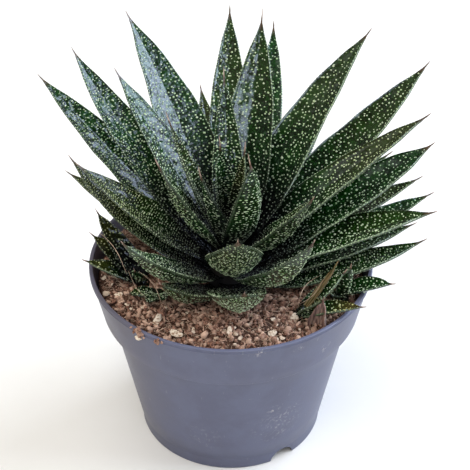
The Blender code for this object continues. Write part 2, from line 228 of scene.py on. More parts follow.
@dataclass(frozen=True)
class DotSkin:
    """Raised dots of hard pale tissue: dull greenish white, a little yellow where the leaf is sunburnt, and
    greyed by painted shade towards the crown.
    """

    white: str = "#cfddc2"
    green: str = "#8aae74"
    yellow: str = "#a89f58"
    # The next colour and its share are the painted shade that greys the dots towards the crown.
    crown: str = "#5c655b"
    painted_shade_share: float = 0.88
    grain_mm: float = 1 / 3

    def make(self) -> Material:
        """Build the dots' finish: each dot has its own tone through the leaf_tone attribute, with painted
        shade towards the crown.

        Returns:
            The material.
        """
        f = Finish("leaf_dots")
        tone = f.node("Attribute", {"attribute_name": "leaf_tone"}, out="Vector")
        olive, shade, dark = f.node("SeparateXYZ", inputs=(tone,)).node.outputs
        # Painted shade: the dots turn grey where the leaf is darkened towards the crown.
        shade_towards_crown = f.node("Math", TIMES, (dark, self.painted_shade_share))
        place = f.node("TexCoord", out="Object")
        grain = f.node("TexNoise", inputs={"Vector": place, "Scale": METRE / self.grain_mm})
        return f.surface(self.white, ((shade, self.green), (olive, self.yellow), (shade_towards_crown, self.crown)),
                         (grain, 0.2, 0.1), Roughness=0.48, IOR=1.45, Specular_IOR_Level=0.25)


@dataclass(frozen=True)
class DryLeaf:
    """Dead leaf: papery, matt and veined lengthwise, and light comes through it."""

    name: str
    light: str
    dark: str
    vein_mm: float = 0.7

    def make(self) -> Material:
        """Build the papery finish with lengthwise veins.

        Returns:
            The material.
        """
        f = Finish(self.name)
        place = f.node("Attribute", {"attribute_name": "leaf_mm"}, out="Vector")
        along = f.node("Mapping", inputs={"Vector": place, "Scale": (0.12, 1.0, 1.0)})
        vein = f.node("TexNoise", inputs={"Vector": along, "Scale": 1 / self.vein_mm, "Detail": 3.0})
        share = f.node("MapRange", SOFT, (vein, 0.35, 0.65))
        return f.surface(self.dark, ((share, self.light),), (vein, 0.6, 0.3), Roughness=0.62, IOR=1.4,
                         Subsurface_Weight=0.25, Subsurface_Scale=MM)


@dataclass(frozen=True)
class PotPlastic:
    """Injection-moulded polypropylene, violet grey: satin, with faint flow clouds, fine scuffs and dust.

    Attributes:
        scuffs: worn or dusty places as x, y, z and radius in mm and strength.
    """

    body: str = "#5b5e74"
    cloud: str = "#62667d"
    dust: str = "#aca9a8"
    # The next colour is the tint of the painted warm shade on the pot's left side.
    warm_side_shade: str = "#5c5250"
    flow_mm: float = 16.0
    scratch_mm: float = 1.1
    dust_mm: float = 1.6
    skin_mm: float = 0.625
    scuffs: tuple = (
        (11, -59, 83.6, 4.5, 1.0), (27, -52, 79.5, 3.2, 0.8), (39, -43, 72.0, 4.0, 0.9),
        (-48, -34, 73.0, 3.5, 0.7), (22, -41, 30.0, 7.0, 0.8), (18, -43, 38.0, 4.0, 0.9),
        (28, -38, 34.0, 4.5, 0.9), (20, -40, 26.0, 15.0, 0.5), (-12, -44, 20.0, 12.0, 0.3),
        (-20, 52, 80.0, 5.0, 0.8), (38, 22, 30.0, 12.0, 0.5), (-34, 28, 40.0, 9.0, 0.5),
    )

    def make(self) -> Material:
        """Build the plastic: clouded colour, painted warm shade on the left side, dust specks, scuffs and a
        grained skin.

        Returns:
            The material.
        """
        f = Finish("moulded_polypropylene")
        place = f.node("TexCoord", out="Object")
        upright = f.node("Mapping", inputs={"Vector": place, "Scale": (1.0, 1.0, 0.06)})
        flow, grain, scratch, skin = (
            f.node("TexNoise", inputs={"Vector": at, "Scale": METRE / size, "Detail": detail,
                                       "Roughness": rough})
            for at, size, detail, rough in (
                (place, self.flow_mm, 5.0, 0.6), (place, self.dust_mm, 6.0, 0.7),
                (upright, self.scratch_mm, 2.0, 0.5), (place, self.skin_mm, 2.0, 0.5)))
        cloudy = f.node("MapRange", SOFT, (flow, 0.35, 0.65))
        # Painted shade: the left side, towards -X, is tinted warmer and darker.
        left = f.node("MapRange", SOFT, (f.node("SeparateXYZ", inputs=(place,)), -0.02, -0.055, 0.0, 0.7))
        film = f.node("Math", TIMES, (left, f.node("MapRange", SOFT, (flow, 0.2, 0.8, 0.4, 1.0))))
        rub = f.node("MapRange", SOFT, (grain, 0.52, 0.66))
        worn = f.node("MapRange", SOFT, (grain, 0.66, 0.75, 0.0, 0.5))
        for x, y, z, radius, strength in self.scuffs:
            away = f.node("VectorMath", {"operation": "DISTANCE"}, (place, (x * MM, y * MM, z * MM)), "Value")
            near = f.node("MapRange", SOFT, (away, radius * MM, 0.2 * radius * MM, 0.0, strength))
            worn = f.node("Math", LARGER, (worn, f.node("Math", TIMES, (near, rub))))
        worn = f.node("Math", LARGER, (worn, f.node("MapRange", SOFT, (scratch, 0.69, 0.78, 0.0, 0.25))))
        gloss = f.node("MapRange", inputs=(flow, 0.3, 0.7, 0.34, 0.46))
        return f.surface(self.body, ((cloudy, self.cloud), (film, self.warm_side_shade), (worn, self.dust)),
                         (f.node("Math", PLUS, (skin, worn)), 0.12, 0.3), Roughness=gloss, IOR=1.49,
                         Specular_IOR_Level=0.25)


@dataclass(frozen=True)
class PeatCrumb:
    """Peat and coir: dull, dry and fibrous, each crumb and fibre of its own brown."""

    name: str = "peat_and_coir"
    dark: str = "#2a1b14"
    brown: str = "#ab7f6b"
    tan: str = "#e2c0ab"
    grain_mm: float = 0.55

    def make(self) -> Material:
        """Build the soil's finish: mottled browns that also differ by crumb through the shade attribute.

        Returns:
            The material.
        """
        f = Finish(self.name)
        place = f.node("TexCoord", out="Object")
        shade = f.node("Attribute", {"attribute_name": "shade"}, out="Fac")
        grain = f.node("TexNoise", inputs={"Vector": place, "Scale": METRE / self.grain_mm, "Detail": 4.0,
                                           "Roughness": 0.7})
        mottle = f.node("MapRange", SOFT, (grain, 0.35, 0.62))
        return f.surface(self.dark, ((mottle, self.brown), (shade, self.tan)), (grain, 0.9, 0.5),
                         Roughness=0.93, IOR=1.4, Specular_IOR_Level=0.25)


@dataclass(frozen=True)
class BarkChip:
    """Chips of pale inner bark and husk: cream and matt, with brown grain."""

    cream: str = "#e5d7c4"
    brown: str = "#96765a"
    grain_mm: float = 0.9

    def make(self) -> Material:
        """Build the chips' finish: cream with streaks of grain.

        Returns:
            The material.
        """
        f = Finish("bark_chip")
        place = f.node("TexCoord", out="Object")
        shade = f.node("Attribute", {"attribute_name": "shade"}, out="Fac")
        grain = f.node("TexNoise", inputs={"Vector": place, "Scale": METRE / self.grain_mm, "Detail": 5.0})
        share = f.node("Math", LARGER, (f.node("MapRange", SOFT, (grain, 0.45, 0.66)), shade))
        return f.surface(self.cream, ((share, self.brown),), (grain, 0.5, 0.4), Roughness=0.8, IOR=1.45)


@dataclass(frozen=True)
class StemTissue:
    """Stem tissue between the leaf feet: fibrous and dull, painted nearly black for the deep shade between
    the leaf feet.
    """

    # Both colours are painted shade: the stem lies in deep shadow under the leaf feet.
    shaded_fibre: str = "#1f1a16"
    dark: str = "#0b090c"
    fibre_mm: float = 10 / 9

    def make(self) -> Material:
        """Build the stem's fibrous finish, in painted shade.

        Returns:
            The material.
        """
        f = Finish("stem_tissue")
        place = f.node("TexCoord", out="Object")
        upright = f.node("Mapping", inputs={"Vector": place, "Scale": (1.0, 1.0, 0.2)})
        fibre = f.node("TexNoise", inputs={"Vector": upright, "Scale": METRE / self.fibre_mm, "Detail": 3.0})
        return f.surface(self.dark, ((fibre, self.shaded_fibre),), (fibre, 0.5, 0.4), Roughness=0.7, IOR=1.45)


@dataclass(frozen=True)
class StudioPaper:
    """Matt white paper under the pot: plain, with a barely visible tooth."""

    white: str = "#f4f4f2"
    shade: str = "#efefed"
    tooth_mm: float = 25.0

    def make(self) -> Material:
        """Build the paper.

        Returns:
            The material.
        """
        f = Finish("studio_paper")
        place = f.node("TexCoord", out="Object")
        tooth = f.node("TexNoise", inputs={"Vector": place, "Scale": METRE / self.tooth_mm, "Detail": 3.0})
        return f.surface(self.white, ((tooth, self.shade),), Roughness=0.9)


def to_mesh(bm: BMesh, name: str) -> Mesh:
    """Write a bmesh into a new mesh and free it.

    Args:
        bm: the bmesh, which is gone afterwards.
        name: the mesh's name.

    Returns:
        The mesh.
    """
    mesh = bpy.data.meshes.new(name)
    bm.to_mesh(mesh)
    bm.free()
    return mesh


def put(name: str, data: ID) -> Object:
    """Make an object of this data in the scene.

    Args:
        name: the object's name.
        data: its mesh, lamp or camera.

    Returns:
        The object.
    """
    made = bpy.data.objects.new(name, data)
    bpy.context.scene.collection.objects.link(made)
    return made


def soften(mesh: Mesh, sharp_degrees: float) -> None:
    """Shade a mesh smooth, with the edges that are steeper than this left sharp."""
    mesh.shade_smooth()
    mesh.set_sharp_from_angle(angle=math.radians(sharp_degrees))


def finish_piece(bm: BMesh, name: str, materials: list, sharp_degrees: float = 60.0,
                 recalc: bool = True) -> Object:
    """Turn a bmesh into a smooth-shaded object that rides on the plant's body.

    Args:
        bm: the mesh in metres, in the frame's place.
        name: the piece's name.
        materials: its materials, in slot order.
        sharp_degrees: edges steeper than this stay sharp.
        recalc: whether to turn all faces outwards.

    Returns:
        The new object.
    """
    if recalc:
        bmesh.ops.recalc_face_normals(bm, faces=bm.faces[:])
    mesh = to_mesh(bm, name)
    for material in materials:
        mesh.materials.append(material)
    soften(mesh, sharp_degrees)
    piece = put(name, mesh)
    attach(piece, ROOT)
    LOG.info("%s: %d faces", name, len(mesh.polygons))
    return piece


def lathe(profile: list[tuple[float, float]], sides: int) -> BMesh:
    """Spin a section round the Z axis.

    Args:
        profile: its points as (radius, height) in mm.
        sides: how many steps a full turn has.

    Returns:
        The spun mesh in metres.
    """
    bm = bmesh.new()
    verts = [bm.verts.new((radius * MM, 0, height * MM)) for radius, height in profile]
    edges = [bm.edges.new(pair) for pair in zip(verts, verts[1:])]
    bmesh.ops.spin(bm, geom=verts + edges, cent=(0, 0, 0), axis=(0, 0, 1), angle=math.tau, steps=sides,
                   use_merge=True)
    bmesh.ops.remove_doubles(bm, verts=bm.verts[:], dist=TINY)
    return bm


def pebble_template(name: str, slot: int = 0) -> Mesh:
    """A ball of 20 faces in one material slot, which dots and crumbs are stamped from.

    Args:
        name: the mesh's name.
        slot: the number of its material slot.

    Returns:
        The mesh.
    """
    bm = bmesh.new()
    bmesh.ops.create_icosphere(bm, subdivisions=1, radius=1.0)
    for face in bm.faces:
        face.material_index = slot
    return to_mesh(bm, name)


def corners(mesh: Mesh) -> np.ndarray:
    """All vertex places of a mesh as an array.

    Args:
        mesh: the mesh.

    Returns:
        One row of x, y and z for each vertex.
    """
    flat = np.zeros(len(mesh.vertices) * 3, np.float32)
    mesh.vertices.foreach_get("co", flat)
    return flat.reshape(-1, 3).astype(float)


def write_attribute(mesh: Mesh, name: str, first: int, values: np.ndarray) -> None:
    """Write values of a point attribute, which is made if it isn't there.

    Args:
        mesh: the mesh that holds it.
        name: the attribute's name.
        first: the number of the first vertex that gets a value.
        values: one vector or one number for each vertex from there on.
    """
    kind, key, size = ("FLOAT_VECTOR", "vector", 3) if values.ndim == 2 else ("FLOAT", "value", 1)
    layer = mesh.attributes.get(name) or mesh.attributes.new(name, kind, "POINT")
    held = np.zeros(len(mesh.vertices) * size, np.float32)
    layer.data.foreach_get(key, held)
    held[first * size:] = values.ravel()
    layer.data.foreach_set(key, held)


@dataclass(frozen=True)
class Frames:
    """Places of stamped copies: centres in millimetres and, for each, three axes with their lengths."""

    centre: np.ndarray
    axes: np.ndarray

    def points(self, template: np.ndarray) -> np.ndarray:
        """Vertex places in metres of one template at every place, one copy after the other."""
        placed = self.centre[:, None, :] + np.einsum("nki,vk->nvi", self.axes, template)
        return placed.reshape(-1, 3) * MM


class Dots(Enum):
    """Raised dots on a leaf: spacing across and along, then half sizes across, along and up, in mm."""

    SPARSE = (1.85, 1.65, 0.45, 0.41, 0.25)
    CLOSE = (1.60, 1.30, 0.47, 0.34, 0.23)
    BANDED = (1.45, 1.12, 0.53, 0.25, 0.20)


STEM_X, STEM_Y = 0.0, -6.0
STEM_RADIUS = 9.0
STEM_Z = 79.0
STEM_DOME = 19.0
STEM_TURN = 82.0
GAP = 0.3


@dataclass(frozen=True)
class Leaf:
    """One leaf: its direction, order on the stem, curve and size as in the solid, then its dots, its tones
    and the reach of the painted shade at its foot.
    """

    name: str
    azimuth: float
    order: float
    rise: float
    bend: float
    sweep: float
    length: float
    width: float
    thick: float
    dots: Dots = Dots.SPARSE
    olive: float = 0.0
    pale: float = 0.0
    rim: float = 0.3
    foot: float = 0.5
    # How far from the foot, in mm, the painted shade towards the crown reaches.
    painted_shade_mm: float = 26.0
    keel: float = 1.25
    blunt: float = 2.1


# A leaf's section and outline: thicknesses and lengths in mm, the wrap in radians, the rest as shares.
EDGE, FOOT_THICK, TIP_THICK = 0.6, 1.2, 0.9
CUP = 0.07
GROOVE, GROOVE_WIDE = 0.05, 0.16
WAVE, WAVE_MM = 0.018, 4.7
RIPPLE, RIPPLE_MM = 0.02, 3.1
BEAD, BEAD_AT, BEAD_WIDE = 0.45, 0.955, 0.03
DENT, DENT_MM = 0.36, 2.7
BULGE = 0.3
SHOULDER = 0.75
DRAWN = 0.3
WRAP_LIMIT = 1.4
# Its spine and the hair on its point.
MIN_ROWS, SPINE_STEPS = 14, 120
BEND_CENTRE, SWEEP_POWER = 0.35, 1.5
HAIR_ROWS, HAIR_SHARE = 5, 0.7
HAIR_HALF, HAIR_END = 0.26, 0.05
HAIR_CURL, HAIR_LIFT = 0.3, 0.35
# Its raised dots: where they start and end as shares of the length, and how loosely they are strewn.
DOT_FROM, DOT_TO, DOT_BAND, DOT_LIMIT = 0.1, 0.965, 1.84, 0.94
DOT_JITTER, DOT_SKIP, DOT_SINK = 0.38, 0.1, 0.3
DOT_UNDER = 1.25
LOOSE_BAND, LOOSE_SCATTER = 0.25, 0.42
RIM_FROM, RIM_TO, RIM_ACROSS = 0.14, 0.95, 0.99
RIM_DOT, RIM_GAP = (0.26, 0.3, 0.26), (1.0, 1.9)
# Its tones, with the painted shade towards the crown, and the places that the patterns read.
PAINTED_SHADE_START, PAINTED_SHADE_MOST, FAINT = 0.3, 0.97, 0.6
DOT_TONE, DOT_HALF = 0.8, 8.0
LEAF_APART, FACE_APART = 13.7, 40.0
LEAF_MAPS = ("leaf_map", "leaf_mm", "leaf_tone")
UPPER, MARGIN, LOWER = 1.0, 0.5, 0.0
ACROSS = np.array([-1.0, -0.955, -0.9, -0.78, -0.64, -0.48, -0.32, -0.16, -0.06, 0.0,
                   0.06, 0.16, 0.32, 0.48, 0.64, 0.78, 0.9, 0.955, 1.0])


@dataclass
class Blade:
    """The fine mesh of one leaf: grids of its upper and lower face and the dots on them.

    Attributes:
        leaf: the leaf's entry in the table.
        axis: the plant's axis, which the leaf wraps round.
        start: where the leaf leaves the stem.
        row_mm: distance between rows.
        hair_mm: length of the hair at the tip.
        seed: for the waves and the dots.
        part: how far along each row is, with 1 at the leaf's end and more on its hair.
        half: half the width of each row.
        upper: the upper face's points, row by row, and lower the lower face's.
        ring: both faces and the margins between them as closed rings.
    """

    leaf: Leaf
    axis: np.ndarray
    start: np.ndarray
    seed: int
    row_mm: float = 1.3
    hair_mm: float = 3.0
    part: np.ndarray = field(init=False)
    half: np.ndarray = field(init=False)
    upper: np.ndarray = field(init=False)
    lower: np.ndarray = field(init=False)
    ring: np.ndarray = field(init=False)

    def __post_init__(self) -> None:
        """Work out the spine with its hair, then the grids of both faces."""
        leaf = self.leaf
        rows = max(MIN_ROWS, round(leaf.length / self.row_mm))
        fine = np.linspace(0, 1, SPINE_STEPS + 1)
        rise = np.radians(leaf.rise + leaf.bend * (fine - BEND_CENTRE))
        azimuth = np.radians(leaf.azimuth + leaf.sweep * fine ** SWEEP_POWER)
        way = np.stack([np.cos(rise) * np.cos(azimuth), np.cos(rise) * np.sin(azimuth), np.sin(rise)], axis=1)
        steps = 0.5 * (way[1:] + way[:-1]) * leaf.length / SPINE_STEPS
        spine = self.start + np.vstack([np.zeros(3), np.cumsum(steps, axis=0)])
        body = np.linspace(0, 1 - HAIR_SHARE * self.hair_mm / leaf.length, rows + 1)
        point, way = [np.stack([np.interp(body, fine, held[:, k]) for k in range(3)], axis=1)
                      for held in (spine, way)]
        turn = np.interp(body, fine, azimuth)
        hair = np.arange(1, HAIR_ROWS + 1)[:, None] / HAIR_ROWS
        lift = way[-1] + np.array([0, 0, HAIR_LIFT])
        curl = hair * way[-1] * (1 - HAIR_CURL * hair) + HAIR_CURL * hair ** 2 * lift
        point = np.vstack([point, point[-1] + self.hair_mm * curl])
        way = np.vstack([way, np.repeat(way[-1:], HAIR_ROWS, axis=0)])
        turn = np.concatenate([turn, np.full(HAIR_ROWS, turn[-1])])
        self.part = np.concatenate([np.linspace(0, 1, rows + 1), 1 + hair[:, 0] * self.hair_mm / leaf.length])
        self.shape_faces(point, way, turn)

    def shape_faces(self, point: np.ndarray, way: np.ndarray, turn: np.ndarray) -> None:
        """Lay the upper and lower face across the spine and join them into closed rings.

        Args:
            point: the spine's points in mm.
            way: its direction at each point.
            turn: its azimuth there in radians.
        """
        leaf, part = self.leaf, np.minimum(self.part, 1.0)
        rng = np.random.default_rng(self.seed)
        side = np.stack([-np.sin(turn), np.cos(turn), np.zeros_like(turn)], axis=1)
        up = np.cross(way, side)
        out = (point - self.axis) * (1, 1, 0)
        reach = np.linalg.norm(out, axis=1)
        out = out / np.maximum(reach, TINY)[:, None]
        taper = 1 - (1 - np.minimum(1.0, (1 - part) / SHOULDER)) ** leaf.blunt
        foot = leaf.foot + (1 - leaf.foot) * smooth(part, 0.0, 0.32)
        drawn = 1 - DRAWN * smooth(part, 0.86, 0.98)
        wave = 1 + WAVE * np.sin(part * leaf.length / WAVE_MM + rng.uniform(0, 6)) * smooth(part, 0.1, 0.4)
        hair = HAIR_HALF + (HAIR_END - HAIR_HALF) * np.clip((self.part - 1) / (self.part[-1] - 1), 0, 1)
        self.half = np.maximum(0.5 * leaf.width * taper * foot * drawn * wave, hair)
        half, along = self.half[:, None], part[:, None]
        thick = FOOT_THICK + (leaf.thick - FOOT_THICK) * smooth(along, 0.05, 0.4)
        end = smooth(along, 0.5, 1.0)
        thick = np.minimum(thick * (1 - end) + TIP_THICK * end, 0.25 + 1.3 * half)
        edge = np.minimum(EDGE, 1.1 * half)
        bulge = side * (BULGE * edge)
        point, side, out, up = (rows[:, None, :] for rows in (point, side, out, up))
        radius = np.maximum(reach[:, None], half / WRAP_LIMIT)
        angle = ACROSS * (half / radius)
        cup = 2 * CUP * half * ACROSS ** 2 * smooth(along, 0.1, 0.5)
        groove = GROOVE * half * np.exp(-(ACROSS / GROOVE_WIDE) ** 2) * smooth(along, 0.1, 0.4)
        ripple = RIPPLE * half * np.abs(ACROSS) ** 3 * np.sin(
            along * leaf.length / RIPPLE_MM + np.sign(ACROSS) * rng.uniform(1, 3))
        self.upper = (point + side * (radius * np.sin(angle))[..., None]
                      - out * (radius * (1 - np.cos(angle)))[..., None]
                      + up * (cup - groove + ripple)[..., None])
        depth = edge + (thick - edge) * (1 - np.abs(ACROSS) ** leaf.keel)
        self.lower = self.upper - up * (depth + self.dents(2.0))[..., None]
        bead = BEAD * leaf.rim * np.minimum(1.0, half / 3) * np.exp(
            -((np.abs(ACROSS) - BEAD_AT) / BEAD_WIDE) ** 2) * smooth(along, 0.1, 0.3)
        self.upper = self.upper + up * (self.dents(0.0) + bead)[..., None]
        right = 0.5 * (self.upper[:, -1] + self.lower[:, -1]) + bulge
        left = 0.5 * (self.upper[:, 0] + self.lower[:, 0]) - bulge
        self.ring = np.concatenate([self.upper, right[:, None], self.lower[:, ::-1], left[:, None]], axis=1)

    def dents(self, layer: float) -> np.ndarray:
        """Shallow dents of the thick skin between its dots, fading to the rims and both ends.

        Args:
            layer: a depth in the noise, different for each face.

        Returns:
            How far each point of a face stands out, in mm.
        """
        length, deep = self.leaf.length, self.seed * 7.3 + layer
        held = smooth(self.part, 0.06, 0.25) * (1 - smooth(self.part, 0.86, 0.97))
        rows = [[noise.noise(Vector((part * length / DENT_MM, across * half / DENT_MM, deep)))
                 for across in ACROSS] for part, half in zip(self.part, self.half)]
        return DENT * np.array(rows) * held[:, None] * (1 - ACROSS ** 4)

    def skin(self, bm: BMesh) -> None:
        """Wrap a grid round the rings: the first row folds flat to close the foot, the last closes the tip.

        Args:
            bm: the mesh that the leaf is added to, with its maps for the patterns.
        """
        count = len(ACROSS)
        sides = 2 * count + 2
        across = np.concatenate([ACROSS, [1.0], ACROSS[::-1], [-1.0]])
        face = [UPPER] * count + [MARGIN] + [LOWER] * count + [MARGIN]
        partner = [2 * count - i if i < count or count < i <= 2 * count else i for i in range(sides)]
        ring = self.ring.copy()
        ring[-1] = ring[-1].mean(axis=0)
        fold = 0.5 * (ring[0] + ring[0][partner])
        rings = np.concatenate([fold[None], ring]) * MM
        part = np.concatenate([[0.0], self.part])
        half = np.concatenate([self.half[:1], self.half])
        rows = len(rings) - 1
        held = bm.verts.layers
        layers = [held.float_vector.get(name) or held.float_vector.new(name) for name in LEAF_MAPS]
        layers.append(held.float.get("leaf_rim") or held.float.new("leaf_rim"))
        made = bmesh.ops.create_grid(bm, x_segments=sides, y_segments=rows, size=1.0)["verts"]
        for vert in made:
            column = round((vert.co.x + 1) / 2 * sides) % sides
            row = round((vert.co.y + 1) / 2 * rows)
            vert.co = rings[row, column]
            along, aside, side = part[row], across[column], face[column]
            values = ((along, aside, side), self.millimetres(along, aside * half[row], side),
                      self.tones(along, side, self.leaf.pale), self.leaf.rim)
            for layer, value in zip(layers, values):
                vert[layer] = value
        bmesh.ops.remove_doubles(bm, verts=made, dist=TINY)

    def millimetres(self, part: float, across_mm: float, face: float) -> tuple[float, float, float]:
        """Distance along, distance across and a depth that keeps leaves and faces apart, for the patterns."""
        return part * self.leaf.length, across_mm, self.seed * LEAF_APART + face * FACE_APART

    def tones(self, part: float, face: float, second: float) -> tuple[float, float, float]:
        """The tones of one place, which are fainter on one of the two faces.

        Args:
            part: how far along the leaf it is.
            face: which face it is on.
            second: the second tone at its strongest.

        Returns:
            The olive share, the second tone and the painted shade towards the crown.
        """
        olive = self.leaf.olive * float(smooth(part, 0.3, 0.75))
        painted_shade_mm = self.leaf.painted_shade_mm * (FAINT if face == LOWER else 1.0)
        # Painted shade: near black at the leaf's foot by the crown, fading out along the leaf.
        dark = PAINTED_SHADE_MOST * (1 - float(smooth(part * self.leaf.length, PAINTED_SHADE_START * painted_shade_mm, painted_shade_mm)))
        return olive, second * (FAINT if face == UPPER else 1.0), dark

    def dot_frames(self) -> tuple[Frames, np.ndarray]:
        """Scatter the dots in loose bands over both faces and along the margins.

        Returns:
            The dots' places, and one row of (part, across, face, shade) for each.
        """
        rng = np.random.default_rng(self.seed + 500)
        dx, dy, *size = self.leaf.dots.value
        length = self.leaf.length
        under = DOT_UNDER if self.leaf.dots is Dots.SPARSE else 1.0
        loose = LOOSE_BAND if self.leaf.dots is Dots.BANDED else LOOSE_SCATTER
        spots = []
        for face, spread in ((UPPER, 1.0), (LOWER, under)):
            line = DOT_FROM * length
            while line < DOT_TO * length:
                half = float(np.interp(line / length, self.part, self.half))
                count = int(DOT_BAND * half / (dx * spread))
                if count:
                    slots = (np.arange(count) + 0.5) / count * DOT_BAND - DOT_BAND / 2
                    slots = slots + rng.uniform(-DOT_JITTER, DOT_JITTER, count) * DOT_BAND / count
                    keep = rng.random(count) > DOT_SKIP
                    bend = line + rng.uniform(-loose, loose, count) * dy * spread
                    spots += [(face, a, s / length) for a, s in zip(slots[keep], bend[keep])
                              if abs(a) < DOT_LIMIT]
                line += dy * spread
        dots = [self.place_dot(*spot, size, rng) for spot in spots]
        for sign in (-1, 1):
            line = RIM_FROM * length
            while line < RIM_TO * length:
                dots.append(self.place_dot(UPPER, sign * RIM_ACROSS, line / length, RIM_DOT, rng))
                line += rng.uniform(*RIM_GAP)
        centres, axes, marks = (np.array(rows) for rows in zip(*dots))
        return Frames(centres, axes), marks

    def place_dot(self, face: float, across: float, part: float, size: tuple,
                  rng: np.random.Generator) -> tuple:
        """Seat one dot on a face, sunk a little.

        Args:
            face: the face it stands on.
            across: its place across, from -1 to 1.
            part: its place along, from 0 to 1.
            size: half sizes across, along and up, in mm.
            rng: draws its swelling and its shade.

        Returns:
            Its centre, its axes along the surface and out of it, and its (part, across, face, shade).
        """
        grid = self.upper if face == UPPER else self.lower
        row = float(np.interp(part, self.part, np.arange(len(self.part))))
        column = float(np.interp(across, ACROSS, np.arange(len(ACROSS))))
        r, c = min(int(row), grid.shape[0] - 2), min(int(column), grid.shape[1] - 2)
        u, v = row - r, column - c
        a, b, d, e = grid[r, c], grid[r, c + 1], grid[r + 1, c], grid[r + 1, c + 1]
        centre = (a * (1 - v) + b * v) * (1 - u) + (d * (1 - v) + e * v) * u
        over = (b - a) * (1 - u) + (e - d) * u
        along = (d - a) * (1 - v) + (e - b) * v
        normal = np.cross(along, over) * (1 if face == UPPER else -1)
        axes = np.array([way / max(np.linalg.norm(way), TINY) for way in (over, along, normal)])
        swell = rng.lognormal(0.0, 0.2) * (0.72 + 0.28 * math.sin(math.pi * min(1.0, part)))
        sizes = np.array(size) * swell
        mark = (part, across, face, rng.random())
        return centre - axes[2] * DOT_SINK * sizes[2], axes * sizes[:, None], mark


def seat(order: float) -> tuple[float, float]:
    """Radius and height where a leaf of this order leaves the dome of the stem."""
    turn = math.radians(STEM_TURN * order)
    return STEM_RADIUS * math.cos(turn) + GAP, STEM_Z + STEM_DOME * math.sin(turn)


def dotted_piece(name: str, blades: list[Blade], extra: BMesh | None, materials: list,
                 template: Mesh) -> Object:
    """Join leaves and their raised dots into one piece.

    Args:
        name: the piece's name.
        blades: the leaves.
        extra: a mesh that goes with them, such as a short stem, or None.
        materials: skin first, dots second.
        template: the ball that the dots are stamped from.

    Returns:
        The piece.
    """
    leaves = extra or bmesh.new()
    for blade in blades:
        blade.skin(leaves)
    bmesh.ops.recalc_face_normals(leaves, faces=leaves.faces[:])
    at = skin_count = len(leaves.verts)
    bare = to_mesh(leaves, name + "_skin")
    bm = bmesh.new()
    bm.from_mesh(bare)
    bpy.data.meshes.remove(bare)
    scattered = [blade.dot_frames() for blade in blades]
    for frames, _ in scattered:
        for _ in range(len(frames.centre)):
            bm.from_mesh(template)
    piece = finish_piece(bm, name, materials, recalc=False)
    mesh, shape = piece.data, corners(template)
    places = corners(mesh)
    maps = []
    for blade, (frames, marks) in zip(blades, scattered):
        points = frames.points(shape)
        places[at:at + len(points)] = points
        at += len(points)
        for part, across, face, shade in marks:
            # The third tone carries the painted shade towards the crown onto each dot.
            olive, _, dark = blade.tones(part, face, 0.0)
            maps.append(((part, across, face), blade.millimetres(part, across * DOT_HALF, face),
                         (olive * DOT_TONE, shade * DOT_TONE, dark)))
    mesh.vertices.foreach_set("co", places.astype(np.float32).ravel())
    for label, values in zip(LEAF_MAPS, np.array(maps).swapaxes(0, 1)):
        write_attribute(mesh, label, skin_count, np.repeat(values, len(shape), axis=0))
    mesh.update()
    return piece


